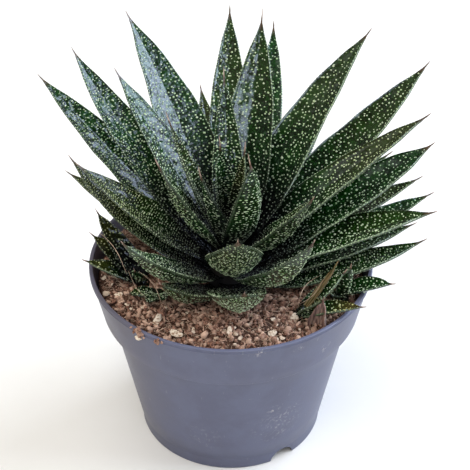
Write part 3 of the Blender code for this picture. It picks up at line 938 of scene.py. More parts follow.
S, C, B = Dots.SPARSE, Dots.CLOSE, Dots.BANDED
ROSETTE = (
    Leaf("leaf_01", 352, 0.00, 16, 16, 14, 75, 18, 4.4, C, 0.1, 0.3, rim=0.7, blunt=2.4),
    Leaf("leaf_02", 45, 0.02, 13, 0, -8, 92, 15, 3.8, rim=0.6, painted_shade_mm=40),
    Leaf("leaf_03", 231, 0.02, 29, 36, 0, 43, 16, 3.8, B, 0.2, 0.3, painted_shade_mm=26, keel=1.8, blunt=2.6),
    Leaf("leaf_04", 122, 0.03, 12, 4, 0, 62, 14, 4.0, painted_shade_mm=40),
    Leaf("leaf_05", 77, 0.06, 14, 4, -10, 86, 14, 3.8, painted_shade_mm=40),
    Leaf("leaf_06", 19, 0.09, 12, 0, 6, 87, 16, 3.8, rim=0.7, painted_shade_mm=38, blunt=2.6),
    Leaf("leaf_07", 146, 0.13, 13, 0, 0, 81, 17, 4.0, C, 0.5, 0.2, painted_shade_mm=40),
    Leaf("leaf_08", 98, 0.14, 24, 0, 2, 92, 16, 4.4, S, 0.4, painted_shade_mm=46),
    Leaf("leaf_09", 276, 0.14, 28, 44, 0, 51, 24, 4.4, B, 0.1, 0.35, painted_shade_mm=20, keel=2.2, blunt=3.0),
    Leaf("leaf_10", 359, 0.15, 17, 4, 12, 71, 18, 4.0, S, 0.1, 0.2, rim=0.8, painted_shade_mm=34, blunt=2.4),
    Leaf("leaf_11", 62, 0.19, 21, 4, -6, 84, 13, 3.8, painted_shade_mm=44),
    Leaf("leaf_12", 20, 0.24, 18, 0, 0, 82, 16, 3.2, S, 0.3, rim=0.7, painted_shade_mm=38, blunt=2.4),
    Leaf("leaf_13", 168, 0.22, 31, 30, -12, 75, 20, 4.6, B, 0.5, 0.1, painted_shade_mm=38),
    Leaf("leaf_14", 220, 0.25, 35, 34, 3, 61, 19, 4.4, B, 0.1, 0.2, painted_shade_mm=34, keel=1.7, blunt=2.4),
    Leaf("leaf_15", 74, 0.26, 33, 0, 14, 113, 18, 4.6, rim=0.6, painted_shade_mm=50),
    Leaf("leaf_16", 360, 0.29, 22, -2, -8, 80, 24, 3.8, S, 0.2, rim=0.9, painted_shade_mm=32, blunt=2.5),
    Leaf("leaf_17", 143, 0.31, 29, -2, -2, 111, 22, 5.0, C, painted_shade_mm=52),
    Leaf("leaf_18", 303, 0.33, 37, 44, 14, 62, 23, 4.6, C, 0.15, 0.6, painted_shade_mm=26, keel=1.9, blunt=3.0),
    Leaf("leaf_19", 12, 0.37, 29, 0, 8, 90, 25, 3.9, rim=0.8, painted_shade_mm=44, blunt=3.0),
    Leaf("leaf_20", 170, 0.39, 35, 12, 4, 69, 21, 4.4, B, 0.4, 0.1, painted_shade_mm=40),
    Leaf("leaf_21", 91, 0.40, 42, 0, -2, 108, 20, 4.4, S, 0.25, painted_shade_mm=58),
    Leaf("leaf_22", 33, 0.48, 32, 2, 3, 112, 23, 4.0, S, 0.25, rim=0.9, painted_shade_mm=52, blunt=2.3),
    Leaf("leaf_23", 143, 0.46, 38, -3, -14, 106, 21, 5.0, C, painted_shade_mm=58),
    Leaf("leaf_24", 14, 0.54, 38, -4, -6, 94, 21, 4.8, S, 0.45, rim=0.8, painted_shade_mm=48),
    Leaf("leaf_25", 117, 0.55, 46, -4, 16, 107, 25, 5.0, painted_shade_mm=56),
    Leaf("leaf_26", 274, 0.55, 41, 44, 0, 48, 24, 4.4, B, 0.3, 0.3, foot=0.85, painted_shade_mm=10, keel=2.2, blunt=3.2),
    Leaf("leaf_27", 50, 0.61, 45, -6, -16, 105, 23, 4.6, S, 0.25, rim=1.0, painted_shade_mm=56),
    Leaf("leaf_28", 330, 0.66, 48, 20, 0, 50, 19, 4.2, B, 0.2, 0.15, painted_shade_mm=26, keel=1.8, blunt=2.8),
    Leaf("leaf_29", 145, 0.67, 52, -4, -2, 84, 19, 4.2, C, painted_shade_mm=52),
    Leaf("leaf_30", 75, 0.73, 54, 0, 7, 96, 23, 4.2, S, 0.2, rim=0.5, painted_shade_mm=58),
    Leaf("leaf_31", 196, 0.75, 60, 12, -2, 54, 17, 3.4, B, 0.15, 0.0, painted_shade_mm=38, keel=1.6),
    Leaf("leaf_32", 94, 0.82, 63, 0, 2, 70, 14, 3.0, C, 0.1, rim=0.5, painted_shade_mm=46),
    Leaf("leaf_33", 166, 0.86, 67, 0, -20, 61, 10, 2.4, B, 0.3, painted_shade_mm=50),
    Leaf("leaf_34", 118, 0.93, 81, 4, 4, 46, 13, 2.2, B, foot=0.7, painted_shade_mm=44),
    Leaf("leaf_35", 222, 0.90, 73, 6, -30, 43, 13, 2.2, B, foot=0.8, painted_shade_mm=66),
    Leaf("leaf_36", 40, 0.95, 83, 3, 0, 45, 9, 2.0, B, 0.5, rim=0.8, foot=0.7, painted_shade_mm=44),
    Leaf("leaf_37", 326, 0.88, 76, 52, -8, 47, 20, 2.6, B, 0.1, foot=0.9, painted_shade_mm=46, keel=2.4, blunt=2.6),
)


@dataclass
class Rosette:
    """The large leaves round the stem, each a piece that stands for its own solid."""

    skin: Material
    dots: Material
    crown_order: float = 0.7
    crown_hair_mm: float = 5.0
    hair_mm: float = 2.4

    def build(self) -> None:
        """Build every leaf of the rosette and dress the stem."""
        axis = np.array([STEM_X, STEM_Y, 0.0])
        template = pebble_template("dot", slot=1)
        for number, leaf in enumerate(ROSETTE):
            radius, height = seat(leaf.order)
            start = axis + around(radius, math.radians(leaf.azimuth), height)
            hair = self.crown_hair_mm if leaf.order > self.crown_order else self.hair_mm
            blade = Blade(leaf, axis, start, seed=number + 1, hair_mm=hair)
            name = leaf.name.replace("leaf", "blade")
            piece = dotted_piece(name, [blade], None, [self.skin, self.dots], template)
            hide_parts(leaf.name)
        # The stem gets a near-black finish: painted shade.
        tissue = StemTissue().make()
        for slot in frame["nodes"]["stem"].material_slots:
            slot.material = tissue


@dataclass(frozen=True)
class Offset:
    """A young plant beside the rosette: its foot in the soil and its leaves as (height, Leaf) pairs.

    Attributes:
        dry: dried leaves as (x aside, y aside, height, Leaf).
    """

    name: str
    x: float
    y: float
    z: float
    leaves: tuple
    dry: tuple = ()


OFFSET_STEM_RADIUS = 3.0
OFFSET_SEAT = 1.7
OFFSET_STEM_DEPTH = 8.0

OFFSETS = (
    Offset("offset_left", -37, -9, 79.0, (
        (3.5, Leaf("a", 137, 0, 38, 10, 0, 33, 11, 2.4, S, 0.7, foot=0.8, painted_shade_mm=34)),
        (2.5, Leaf("b", 149, 0, 30, -6, 0, 28, 11, 2.4, S, 0.7, foot=0.8, painted_shade_mm=30)),
        (1.5, Leaf("c", 180, 0, 26, -8, 0, 25, 11, 2.4, S, 0.6, rim=0.8, foot=0.8, painted_shade_mm=20)),
        (3.0, Leaf("d", 250, 0, 55, 20, 0, 12, 7, 1.8, B, foot=0.9, painted_shade_mm=3)),
    )),
    Offset("offset_front", -30, -17, 78.5, (
        (2.0, Leaf("a", 282, 0, 30, -50, 0, 14, 9, 2.0, B, 0.0, 0.2, foot=0.9, painted_shade_mm=3)),
        (1.5, Leaf("b", 210, 0, 24, -20, 0, 14, 8, 1.8, B, 0.3, foot=0.9, painted_shade_mm=3)),
        (1.8, Leaf("c", 250, 0, 20, -20, 0, 12, 7, 1.8, B, foot=0.9, painted_shade_mm=3)),
    )),
    Offset("offset_right", 29, -30, 79.0, (
        (3.2, Leaf("a", 14, 0, 44, 6, 0, 23, 9, 2.0, C, 0.1, 0.2, rim=0.9, foot=0.9, painted_shade_mm=4)),
        (2.0, Leaf("b", 330, 0, 52, 6, 0, 13, 10, 2.0, C, 0.7, 0.3, rim=0.7, foot=1.0, painted_shade_mm=2)),
        (0.8, Leaf("c", 338, 0, 27, -18, 0, 27, 10, 2.2, S, 1.0, rim=0.8, foot=0.9, painted_shade_mm=3)),
    ), (
        (0.0, 0.0, 3.6, Leaf("tan", 24, 0, 52, 12, 0, 23, 3.4, 1.0, foot=0.9)),
        (6.0, -9.5, 1.2, Leaf("purple", 60, 0, 80, -10, 0, 12, 11, 0.9, foot=1.0, blunt=1.4)),
    )),
    Offset("offset_rear", 46, -20, 79.0, (
        (4.0, Leaf("a", 341, 0, 30, -30, 0, 22, 12, 2.2, S, 0.0, 0.1, rim=0.2, foot=0.9, painted_shade_mm=2)),
        (3.0, Leaf("b", 302, 0, 81, 0, 0, 18, 9, 2.0, C, 0.0, 0.1, rim=0.9, foot=0.9, painted_shade_mm=4)),
        (1.6, Leaf("c", 222, 0, 42, 0, 0, 9, 8, 1.8, C, foot=0.9, painted_shade_mm=3)),
    )),
)


@dataclass
class Offsets:
    """The four young plants at the rosette's foot.

    Attributes:
        dome_over: how far the stem's dome stands over the highest leaf's foot, in mm.
        stem_map: place along, across and face that the leaf patterns read on the stem.
        stem_tone: the stem's olive share, pale share and painted shade.
    """

    skin: Material
    dots: Material
    row_mm: float = 0.9
    hair_mm: float = 2.2
    stem_sides: int = 20
    dome_over: float = 0.8
    stem_map: tuple = (0.3, 0.5, 1.0)
    stem_tone: tuple = (0.3, 0.2, 0.6)

    def blade(self, offset: Offset, height: float, leaf: Leaf, seed: int, aside: tuple = (0.0, 0.0)) -> Blade:
        """The fine mesh of one leaf of an offset.

        Args:
            offset: the young plant.
            height: how high on its stem the leaf starts, in mm.
            leaf: the leaf's shape and tones.
            seed: for its waves and dots.
            aside: how far its foot stands beside the stem, in mm.

        Returns:
            The leaf's blade.
        """
        axis = np.array([offset.x + aside[0], offset.y + aside[1], 0.0])
        start = axis + around(OFFSET_SEAT, math.radians(leaf.azimuth), offset.z + height)
        return Blade(leaf, axis, start, seed=seed, row_mm=self.row_mm, hair_mm=self.hair_mm)

    def stem(self, offset: Offset) -> BMesh:
        """The short domed stem of one offset, with the maps that the leaf skin reads.

        Args:
            offset: the young plant.

        Returns:
            The stem in metres.
        """
        radius, low = OFFSET_STEM_RADIUS, offset.z - OFFSET_STEM_DEPTH
        top = max(height for height, _ in offset.leaves) + self.dome_over
        dome = [(radius * math.cos(a), offset.z + top * math.sin(a)) for a in np.linspace(0, 1.5, 9)]
        bm = lathe([(0, low), (radius, low)] + dome + [(0, offset.z + top)], self.stem_sides)
        bmesh.ops.translate(bm, verts=bm.verts[:], vec=Vector((offset.x, offset.y, 0)) * MM)
        layers = [bm.verts.layers.float_vector.new(name) for name in LEAF_MAPS]
        for vert in bm.verts:
            for layer, value in zip(layers, (self.stem_map, vert.co / MM, self.stem_tone)):
                vert[layer] = value
        return bm

    def build(self) -> None:
        """Build each offset with its stem, and its dried leaves as pieces of their own."""
        template = pebble_template("small_dot", slot=1)
        papers = {
            "tan": DryLeaf("dry_leaf_tan", "#97825d", "#45421f").make(),
            "purple": DryLeaf("dry_leaf_brown", "#a38779", "#5e4844").make(),
        }
        for number, offset in enumerate(OFFSETS):
            blades = [self.blade(offset, height, leaf, 60 + 10 * number + k)
                      for k, (height, leaf) in enumerate(offset.leaves)]
            piece = dotted_piece(offset.name + "_young", blades, self.stem(offset), [self.skin, self.dots],
                                 template)
            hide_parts(offset.name)
            for k, (x, y, height, leaf) in enumerate(offset.dry):
                bm = bmesh.new()
                self.blade(offset, height, leaf, 110 + k, (x, y)).skin(bm)
                paper = finish_piece(bm, "dry_leaf_" + leaf.name, [papers[leaf.name]])


@dataclass
class Pot:
    """The thin nursery pot: lip, collar, tapered wall, stepped foot and a floor with drain holes."""

    rim: float = 60.0
    height: float = 85.0
    lip: float = 2.0
    lip_round: float = 0.5
    lip_under: float = 0.35
    collar_z: float = 62.8
    collar_top: float = 59.3
    collar_bottom: float = 55.2
    shelf_round: float = 0.6
    neck: float = 51.9
    step_z: float = 6.4
    step: float = 0.7
    base: float = 40.5
    wall: float = 1.2
    floor_z: float = 6.2
    floor_thick: float = 1.4
    dish: float = 27.0
    arch_radius: float = 6.0
    arch_drop: float = 0.6
    arches: tuple = (-56.0, 64.0, 184.0)
    drain_radius: float = 2.5
    drain_ring: float = 35.0
    drains: int = 9
    sides: int = 180
    sharp_degrees: float = 40.0

    def deck(self) -> float:
        """Height of the raised floor's top."""
        return self.floor_z + self.floor_thick

    def wall_radius(self, z: float) -> float:
        """Outer radius of the tapered body above the foot."""
        foot = self.base + self.step
        return foot + (self.neck - foot) * (z - self.step_z) / (self.collar_z - self.step_z)

    def collar_radius(self, z: float) -> float:
        """Outer radius of the collar under the lip."""
        part = (z - self.collar_z) / (self.height - self.lip - self.collar_z)
        return self.collar_bottom + (self.collar_top - self.collar_bottom) * part

    def profile(self) -> list[tuple[float, float]]:
        """The wall's closed section, from the top of the lip down outside, under the floor and up inside.

        Returns:
            Its points as (radius, height) in mm.
        """
        top, z, rim, base, wall = self.height, self.collar_z, self.rim, self.base, self.wall
        under_lip, deck, ledge = top - self.lip, self.deck(), z + wall
        lip = arc(rim - self.lip_round, top - self.lip_round, self.lip_round, 90, 0, 6)
        lip += [(rim - 0.03, top - 0.66), (rim - 0.2, top - 0.86), (rim - 0.2, top - 1.14),
                (rim - 0.03, top - 1.34)]
        lip += arc(rim - self.lip_under, under_lip + self.lip_under, self.lip_under, 0, -90, 4)
        collar = [(self.collar_top, under_lip - 0.1)]
        collar += [(self.collar_radius(h), h) for h in (80, 76, 72, 68, 64)]
        shelf = arc(self.collar_bottom - self.shelf_round, z + self.shelf_round, self.shelf_round, 0, -90, 5)
        shelf += [(self.neck + 0.5, z), (self.neck + 0.12, z - 0.15)]
        body = [(self.wall_radius(h), h) for h in (z - 0.6, 52, 40, 28, 16, self.step_z + 0.25)]
        foot = [(base + 0.35, self.step_z - 0.1), (base + 0.15, self.step_z - 0.5), (base, 0.8),
                (base - 0.15, 0.25), (base - 0.5, 0)]
        under = [(base - wall, 0), (base - wall + 0.1, self.floor_z), (self.dish + 3, self.floor_z),
                 (self.dish, 0), (0, 0)]
        inside = [(0, self.floor_thick), (self.dish - 0.8, self.floor_thick), (self.dish + 2.2, deck),
                  (self.wall_radius(deck) - wall, deck), (self.wall_radius(ledge) - wall, ledge),
                  (self.collar_radius(ledge) - wall, ledge),
                  (self.collar_radius(under_lip) - wall, under_lip), (rim - 1.75, top - 0.5),
                  (rim - 1.5, top - 0.1)]
        return lip + collar + shelf + body + foot + under + inside

    def rod(self, radius: float, depth: float, segments: int, place: np.ndarray,
            turn: tuple = (0, 0, 0)) -> Object:
        """A rod for cutting an arch or a drain hole.

        Args:
            radius: its radius in mm.
            depth: its length in mm.
            segments: how many sides it has.
            place: its middle in metres.
            turn: its rotation in radians.

        Returns:
            The rod.
        """
        bm = bmesh.new()
        bmesh.ops.create_cone(bm, cap_ends=True, segments=segments, radius1=radius * MM, radius2=radius * MM,
                              depth=depth * MM)
        rod = put("cutter", to_mesh(bm, "cutter"))
        rod.location, rod.rotation_euler = place, turn
        return rod

    def build(self, plastic: Material) -> None:
        """Spin the wall, cut arches and drain holes, and put it in the solid's place.

        Args:
            plastic: the pot's finish.
        """
        section = self.profile()
        spun = lathe(section + section[:1], self.sides)
        pot = finish_piece(spun, "nursery_pot", [plastic], self.sharp_degrees)
        rods = bpy.data.collections.new("rods")
        for azimuth in self.arches:
            angle = math.radians(azimuth)
            place = around(self.base * MM, angle, -self.arch_drop * MM)
            rods.objects.link(self.rod(self.arch_radius, 8.0, 48, place, (0, math.pi / 2, angle)))
        for index in range(self.drains):
            place = around(self.drain_ring * MM, math.tau * (index + 0.5) / self.drains, self.floor_z * MM)
            rods.objects.link(self.rod(self.drain_radius, 6.0, 32, place))
        cut = pot.modifiers.new("cut", "BOOLEAN")
        cut.operation, cut.solver = "DIFFERENCE", "EXACT"
        cut.operand_type, cut.collection = "COLLECTION", rods
        bpy.context.view_layer.update()
        mesh = bpy.data.meshes.new_from_object(pot.evaluated_get(bpy.context.evaluated_depsgraph_get()))
        pot.modifiers.remove(cut)
        pot.data = mesh
        for rod in list(rods.objects):
            bpy.data.objects.remove(rod)
        bpy.data.collections.remove(rods)
        soften(mesh, self.sharp_degrees)
        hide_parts("pot")


@dataclass(frozen=True)
class Chip:
    """One pale chip on the soil: place, half length and half width in mm, turn and tilt in degrees, shade."""

    x: float
    y: float
    long: float
    wide: float
    turn: float = 0.0
    tilt: float = 15.0
    shade: float = 0.0


CHIPS = tuple(Chip(*row) for row in (
    (-48.2, -6.0, 2.8, 2.0, 8, 25), (-53.6, -7.3, 1.3, 1.0, 40, 20, 0.2), (-46.9, -18.1, 2.2, 1.6, 25, 25),
    (-51.9, -17.5, 1.7, 1.4, 0, 30, 0.45), (-43.4, -6.6, 2.0, 1.7, 70, 25, 0.8),
    (-50.2, -12.1, 1.0, 0.7, 30, 15, 0.1), (-29.8, -36.2, 2.9, 1.7, 52, 38),
    (-21.9, -44.3, 3.1, 1.8, -22, 20), (-15.1, -43.0, 1.8, 0.9, 80, 35, 0.3),
    (-27.3, -29.2, 2.0, 0.8, 35, 20, 0.3), (-13.0, -30.4, 1.3, 0.8, 10, 20, 0.1),
    (-8.4, -39.3, 1.0, 0.8, 60, 20, 0.5), (-0.7, -43.6, 1.9, 1.2, 75, 40, 0.1),
    (0.9, -41.4, 1.4, 0.8, 20, 30), (-2.4, -42.2, 1.2, 0.8, 130, 30, 0.3),
    (1.8, -45.0, 1.3, 0.9, -30, 25, 0.4), (-5.9, -46.1, 1.1, 0.8, 5, 15, 0.7),
    (3.7, -46.6, 1.2, 0.9, 50, 25, 0.3), (16.5, -43.7, 2.0, 1.6, 15, 25, 0.1),
    (25.6, -33.6, 2.2, 2.0, 60, 35), (17.1, -35.5, 1.1, 0.8, 25, 20, 0.2),
    (20.4, -46.2, 1.3, 0.9, -20, 20, 0.3), (7.5, -38.0, 0.9, 0.6, 35, 20, 0.5),
    (-36.0, -28.0, 1.0, 0.7, 10, 20, 0.3), (-40.5, -13.5, 1.2, 0.9, 20, 20, 0.9),
    (-20.0, -37.5, 1.0, 0.7, -10, 20, 0.5),
))


# Dry flower-stalk hairs among the young plants: both ends in mm and how far the middle bows aside.
HAIRS = (
    ((-53.3, -16.0, 110.8), (-41.8, -22.0, 94.0), 1.5), ((-42.0, -22.0, 95.0), (-33.5, -27.0, 84.0), -1.2),
    ((-36.5, -26.0, 98.0), (-27.2, -31.0, 84.0), 1.6), ((34.7, -31.0, 99.7), (26.4, -34.0, 86.0), -2.0),
    ((37.5, -33.0, 99.5), (27.0, -34.0, 87.0), 1.3), ((-26.0, -33.0, 90.0), (-29.0, -34.0, 83.0), 0.9),
)


@dataclass
class Soil:
    """The mound of peat and coir: ground, crumbs, fibres and pale chips.

    Attributes:
        mound: height of the mound's middle, how far it rises towards the wall and falls again beside it.
        lumps: for large and small lumps their height, their depth in the noise and how fine they are.
        spill_turn: where round the lip a few crumbs cling, in degrees.
    """

    pot: Pot
    wall_z: float = 76.5
    rim: float = 54.6
    sides: int = 180
    rings: int = 56
    mound: tuple = (77.2, 3.2, 1.2)
    lumps: tuple = ((0.75, 3.1, 0.62), (0.7, 8.4, 0.24))
    inner: float = 9.0
    crumbs: int = 4400
    clods: int = 300
    packed: int = 520
    fibres: int = 2300
    long_fibres: int = 260
    small_chips: int = 60
    spill_turn: float = -127.0

    def height(self, x: np.ndarray, y: np.ndarray, dip: float = 3.0) -> np.ndarray:
        """Height of the mound's top, lower round each young plant.

        Args:
            x, y: the places in mm.
            dip: how deep the soil dips at a stem, in mm.

        Returns:
            The heights in mm.
        """
        radius = np.hypot(x, y)
        middle, rise, fall = self.mound
        mound = middle + rise * smooth(radius, 20, 40) - fall * smooth(radius, 40, self.rim)
        lumps = 0.35 * np.sin(0.31 * x + 1.3) * np.cos(0.27 * y - 0.4) + 0.25 * np.sin(0.83 * x + 0.71 * y)
        dips = sum(dip * (1 - smooth(np.hypot(x - o.x, y - o.y), 4, 10)) for o in OFFSETS)
        return mound + lumps * smooth(radius, 10, 25) - np.minimum(dips, dip)

    def clearance(self, places: np.ndarray) -> list[np.ndarray]:
        """Distance of rows of x and y from each offset's stem, then from the rosette's."""
        stems = [(o.x, o.y, OFFSET_STEM_RADIUS) for o in OFFSETS] + [(STEM_X, STEM_Y, STEM_RADIUS)]
        return [np.hypot(places[:, 0] - x, places[:, 1] - y) - radius for x, y, radius in stems]

    def surface(self, places: np.ndarray, dip: float = 3.0) -> np.ndarray:
        """Height of the rough top with its lumps.

        Args:
            places: rows of x and y in mm.
            dip: how deep the soil dips at a stem, in mm.

        Returns:
            The heights in mm.
        """
        rough = [sum(high * noise.noise(Vector((x, y, deep)) * fine) for high, deep, fine in self.lumps)
                 for x, y in places]
        away = np.min(self.clearance(places), axis=0)
        return self.height(places[:, 0], places[:, 1], dip) + np.array(rough) * smooth(away, 0, 4) - 0.3

    def ground(self, peat: Material) -> None:
        """Build the body of soil with a rough top.

        Args:
            peat: its finish.
        """
        pot, inner = self.pot, self.pot.wall + GAP
        low, deck, shelf = pot.floor_thick + GAP, pot.deck() + GAP, pot.collar_z + inner
        side = [(0, low), (pot.dish - 1.4, low), (pot.dish + 1.8, deck),
                (pot.wall_radius(deck) - inner, deck), (pot.wall_radius(shelf) - inner, shelf),
                (pot.collar_radius(shelf) - inner, shelf),
                (pot.collar_radius(self.wall_z) - inner, self.wall_z)]
        crown = [(radius, pot.height) for radius in np.linspace(self.rim, 0, self.rings)]
        bm = lathe(side + crown, self.sides)
        top = [vert for vert in bm.verts if vert.co.z > (pot.height - 1) * MM]
        for vert, z in zip(top, self.surface(np.array([vert.co.xy / MM for vert in top]))):
            vert.co.z = z * MM
        soil = finish_piece(bm, "peat_mound", [peat])
        write_attribute(soil.data, "shade", 0, np.zeros(len(soil.data.vertices)))
        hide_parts("soil")

    def spots(self, count: int, rng: np.random.Generator, outer: float) -> np.ndarray:
        """Random places on the mound, clear of the stems.

        Args:
            count: how many are wanted.
            rng: draws the places.
            outer: how far out they reach, in mm.

        Returns:
            Rows of x and y.
        """
        radius = np.sqrt(rng.uniform(self.inner ** 2, outer ** 2, count * 2))
        angle = rng.uniform(0, math.tau, count * 2)
        places = np.stack([radius * np.cos(angle), radius * np.sin(angle)], axis=1)
        *offsets, rosette = self.clearance(places)
        return places[(np.min(offsets, axis=0) > 1.0) & (rosette > 1.5)][:count]

    def stamp(self, name: str, template: Mesh, frames: Frames, rough: float, shade: np.ndarray,
              material: Material, rng: np.random.Generator) -> None:
        """Stamp a template at every place as one piece.

        Args:
            name: the piece's name.
            template: the mesh that is stamped.
            frames: the places.
            rough: how far each copy is bent out of shape, as a share of its size.
            shade: for each copy, the value that its material reads.
            material: the piece's finish.
            rng: draws the bending.
        """
        bm = bmesh.new()
        for _ in range(len(frames.centre)):
            bm.from_mesh(template)
        piece = finish_piece(bm, name, [material], recalc=False)
        shape = corners(template)
        points = frames.points(shape)
        centres = np.repeat(frames.centre * MM, len(shape), axis=0)
        points = centres + (points - centres) * rng.uniform(1 - rough, 1 + rough, (len(points), 1))
        piece.data.vertices.foreach_set("co", points.astype(np.float32).ravel())
        write_attribute(piece.data, "shade", 0, np.repeat(shade, len(shape)))
        piece.data.update()

    def random_axes(self, rng: np.random.Generator, sizes: np.ndarray) -> np.ndarray:
        """Random directions for three axes of the given lengths.

        Args:
            rng: draws them.
            sizes: the lengths of the three axes in mm.

        Returns:
            Three axes for each row of sizes.
        """
        turned, _ = np.linalg.qr(rng.normal(size=(len(sizes), 3, 3)))
        turned *= np.sign(np.linalg.det(turned))[:, None, None]
        return turned * sizes[:, :, None]

    def lying_axes(self, turn: np.ndarray, lean: np.ndarray, sizes: np.ndarray) -> np.ndarray:
        """Axes of things that lie on the soil.

        Args:
            turn: their turn about the upright in radians.
            lean: their slopes along and across.
            sizes: the lengths of their three axes in mm.

        Returns:
            Three axes for each.
        """
        first = np.stack([np.cos(turn), np.sin(turn), lean[:, 0]], axis=1)
        second = np.stack([-np.sin(turn), np.cos(turn), lean[:, 1]], axis=1)
        third = np.cross(first, second)
        turned = np.stack([first, np.cross(third, first), third], axis=1)
        turned /= np.linalg.norm(turned, axis=2, keepdims=True)
        return turned * sizes[:, :, None]

    def fibre_template(self, name: str, thick: float, bend: float, segments: int) -> Mesh:
        """A curved three-sided fibre, two units long.

        Args:
            name: the mesh's name.
            thick: its radius at the middle.
            bend: how far it curves.
            segments: how many straight stretches it has.

        Returns:
            The mesh.
        """
        bm = bmesh.new()
        bmesh.ops.create_cone(bm, cap_ends=True, segments=3, radius1=thick, radius2=thick, depth=2.0)
        sides = [edge for edge in bm.edges if abs(edge.verts[0].co.z - edge.verts[1].co.z) > 1]
        bmesh.ops.subdivide_edges(bm, edges=sides, cuts=segments - 1, use_grid_fill=False)
        for vert in bm.verts:
            x, y, z = vert.co
            slim = 1 - 0.6 * abs(z)
            vert.co = (z, x * slim + bend * math.cos(1.9 * z), y * slim + 0.4 * bend * math.sin(2.7 * z))
        bmesh.ops.recalc_face_normals(bm, faces=bm.faces[:])
        return to_mesh(bm, name)

    def chip_template(self) -> Mesh:
        """A flat chip with seven uneven corners and broken edges.

        Returns:
            The mesh, two units across.
        """
        bm = bmesh.new()
        bmesh.ops.create_cone(bm, cap_ends=True, segments=7, radius1=0.85, radius2=1.0, depth=2.0)
        rng = np.random.default_rng(5)
        for vert in bm.verts:
            for axis, low, high in ((0, 0.66, 1.12), (1, 0.66, 1.12), (2, 0.5, 1.7)):
                vert.co[axis] *= rng.uniform(low, high)
        bmesh.ops.bevel(bm, geom=bm.edges[:], offset=0.12, affect="EDGES", segments=1, profile=0.5,
                        material=-1)
        return to_mesh(bm, "chip")

    def lay_crumbs(self, peat: Material, rng: np.random.Generator) -> None:
        """Lay the loose crumbs and clods, more of them packed round each young plant.

        Args:
            peat: their finish.
            rng: draws their places, sizes and shades.
        """
        fine, big = self.spots(self.crumbs, rng, 56.2), self.spots(self.clods, rng, 54.2)
        turn, away = rng.uniform(0, math.tau, self.packed), rng.uniform(3.8, 9.5, self.packed)
        pick = rng.integers(0, len(OFFSETS), self.packed)
        near = np.array([(o.x, o.y) for o in OFFSETS])[pick]
        near = near + np.stack([away * np.cos(turn), away * np.sin(turn)], axis=1)
        near = near[np.hypot(near[:, 0], near[:, 1]) < 55.5]
        places = np.vstack([fine, big, near])
        size = np.concatenate([np.clip(rng.lognormal(-0.24, 0.38, len(fine)), 0.4, 1.5),
                               rng.uniform(1.1, 1.9, len(big)), rng.uniform(0.6, 1.2, len(near))])
        low, high = self.surface(places), self.surface(places, 0.4)
        drop = smooth(np.hypot(places[:, 0], places[:, 1]), 54.0, 56.3) * 2.2
        fill = np.concatenate([rng.uniform(0, 0.25, len(fine) + len(big)), rng.uniform(0, 1.0, len(near))])
        z = low + (high - low) * fill + rng.uniform(-0.1, 0.75, len(places)) * size - drop
        shred = np.where(rng.random(len(places))[:, None] < 0.5, (1.7, 0.55, 0.5), (1.0, 1.0, 1.0))
        sizes = size[:, None] * shred * rng.uniform(0.6, 1.15, (len(places), 3))
        frames = Frames(np.column_stack([places, z]), self.random_axes(rng, sizes))
        shade = np.clip(rng.normal(0.3, 0.4, len(places)), 0, 1.0)
        self.stamp("peat_crumbs", pebble_template("crumb"), frames, 0.42, shade, peat, rng)

    def lay_fibres(self, coir: Material, rng: np.random.Generator) -> None:
        """Scatter short and long coir fibres over the crumbs.

        Args:
            coir: their finish.
            rng: draws their places, sizes and shades.
        """
        for name, count, thick, bend, half in (("coir_short", self.fibres, 0.075, 0.35, (0.8, 1.9)),
                                               ("coir_long", self.long_fibres, 0.03, 0.3, (2.2, 4.6))):
            places = self.spots(count, rng, 55.0)
            length = rng.uniform(*half, len(places))
            z = self.surface(places, 1.2) + rng.uniform(0.4, 1.3, len(places))
            turn, lean = rng.uniform(0, math.tau, len(places)), rng.normal(0, 0.35, (len(places), 2))
            axes = self.lying_axes(turn, lean, np.repeat(length[:, None], 3, axis=1))
            shade = np.clip(rng.normal(0.65, 0.3, len(places)), 0.05, 1.0)
            fibre = self.fibre_template(name, thick, bend, 4)
            self.stamp(name, fibre, Frames(np.column_stack([places, z]), axes), 0.0, shade, coir, rng)

    def lay_chips(self, bark: Material, rng: np.random.Generator) -> None:
        """Lay the pale chips: those of the table and small ones at random.

        Args:
            bark: their finish.
            rng: draws their places, sizes and shades.
        """
        rows = [(c.x, c.y, c.long, c.wide, math.radians(c.turn), math.radians(c.tilt), c.shade)
                for c in CHIPS]
        for x, y in self.spots(self.small_chips, rng, 54.0):
            rows.append((x, y, rng.uniform(0.5, 1.2), rng.uniform(0.4, 0.8), rng.uniform(0, 3), 0.3,
                         rng.uniform(0, 0.8)))
        x, y, long, wide, turn, tilt, shade = np.array(rows).T
        places, slope = np.stack([x, y], axis=1), np.tan(tilt)
        wobble = 0.3 * rng.normal(0, 0.1, len(x))
        lean = np.stack([np.sin(turn) * slope + wobble, np.cos(turn) * slope], axis=1)
        axes = self.lying_axes(turn, lean, np.stack([long, wide, 0.16 + 0.1 * wide], axis=1))
        frames = Frames(np.column_stack([places, self.surface(places, 1.0) + 0.75 + 0.12 * long]), axes)
        self.stamp("bark_chips", self.chip_template(), frames, 0.06, shade, bark, rng)

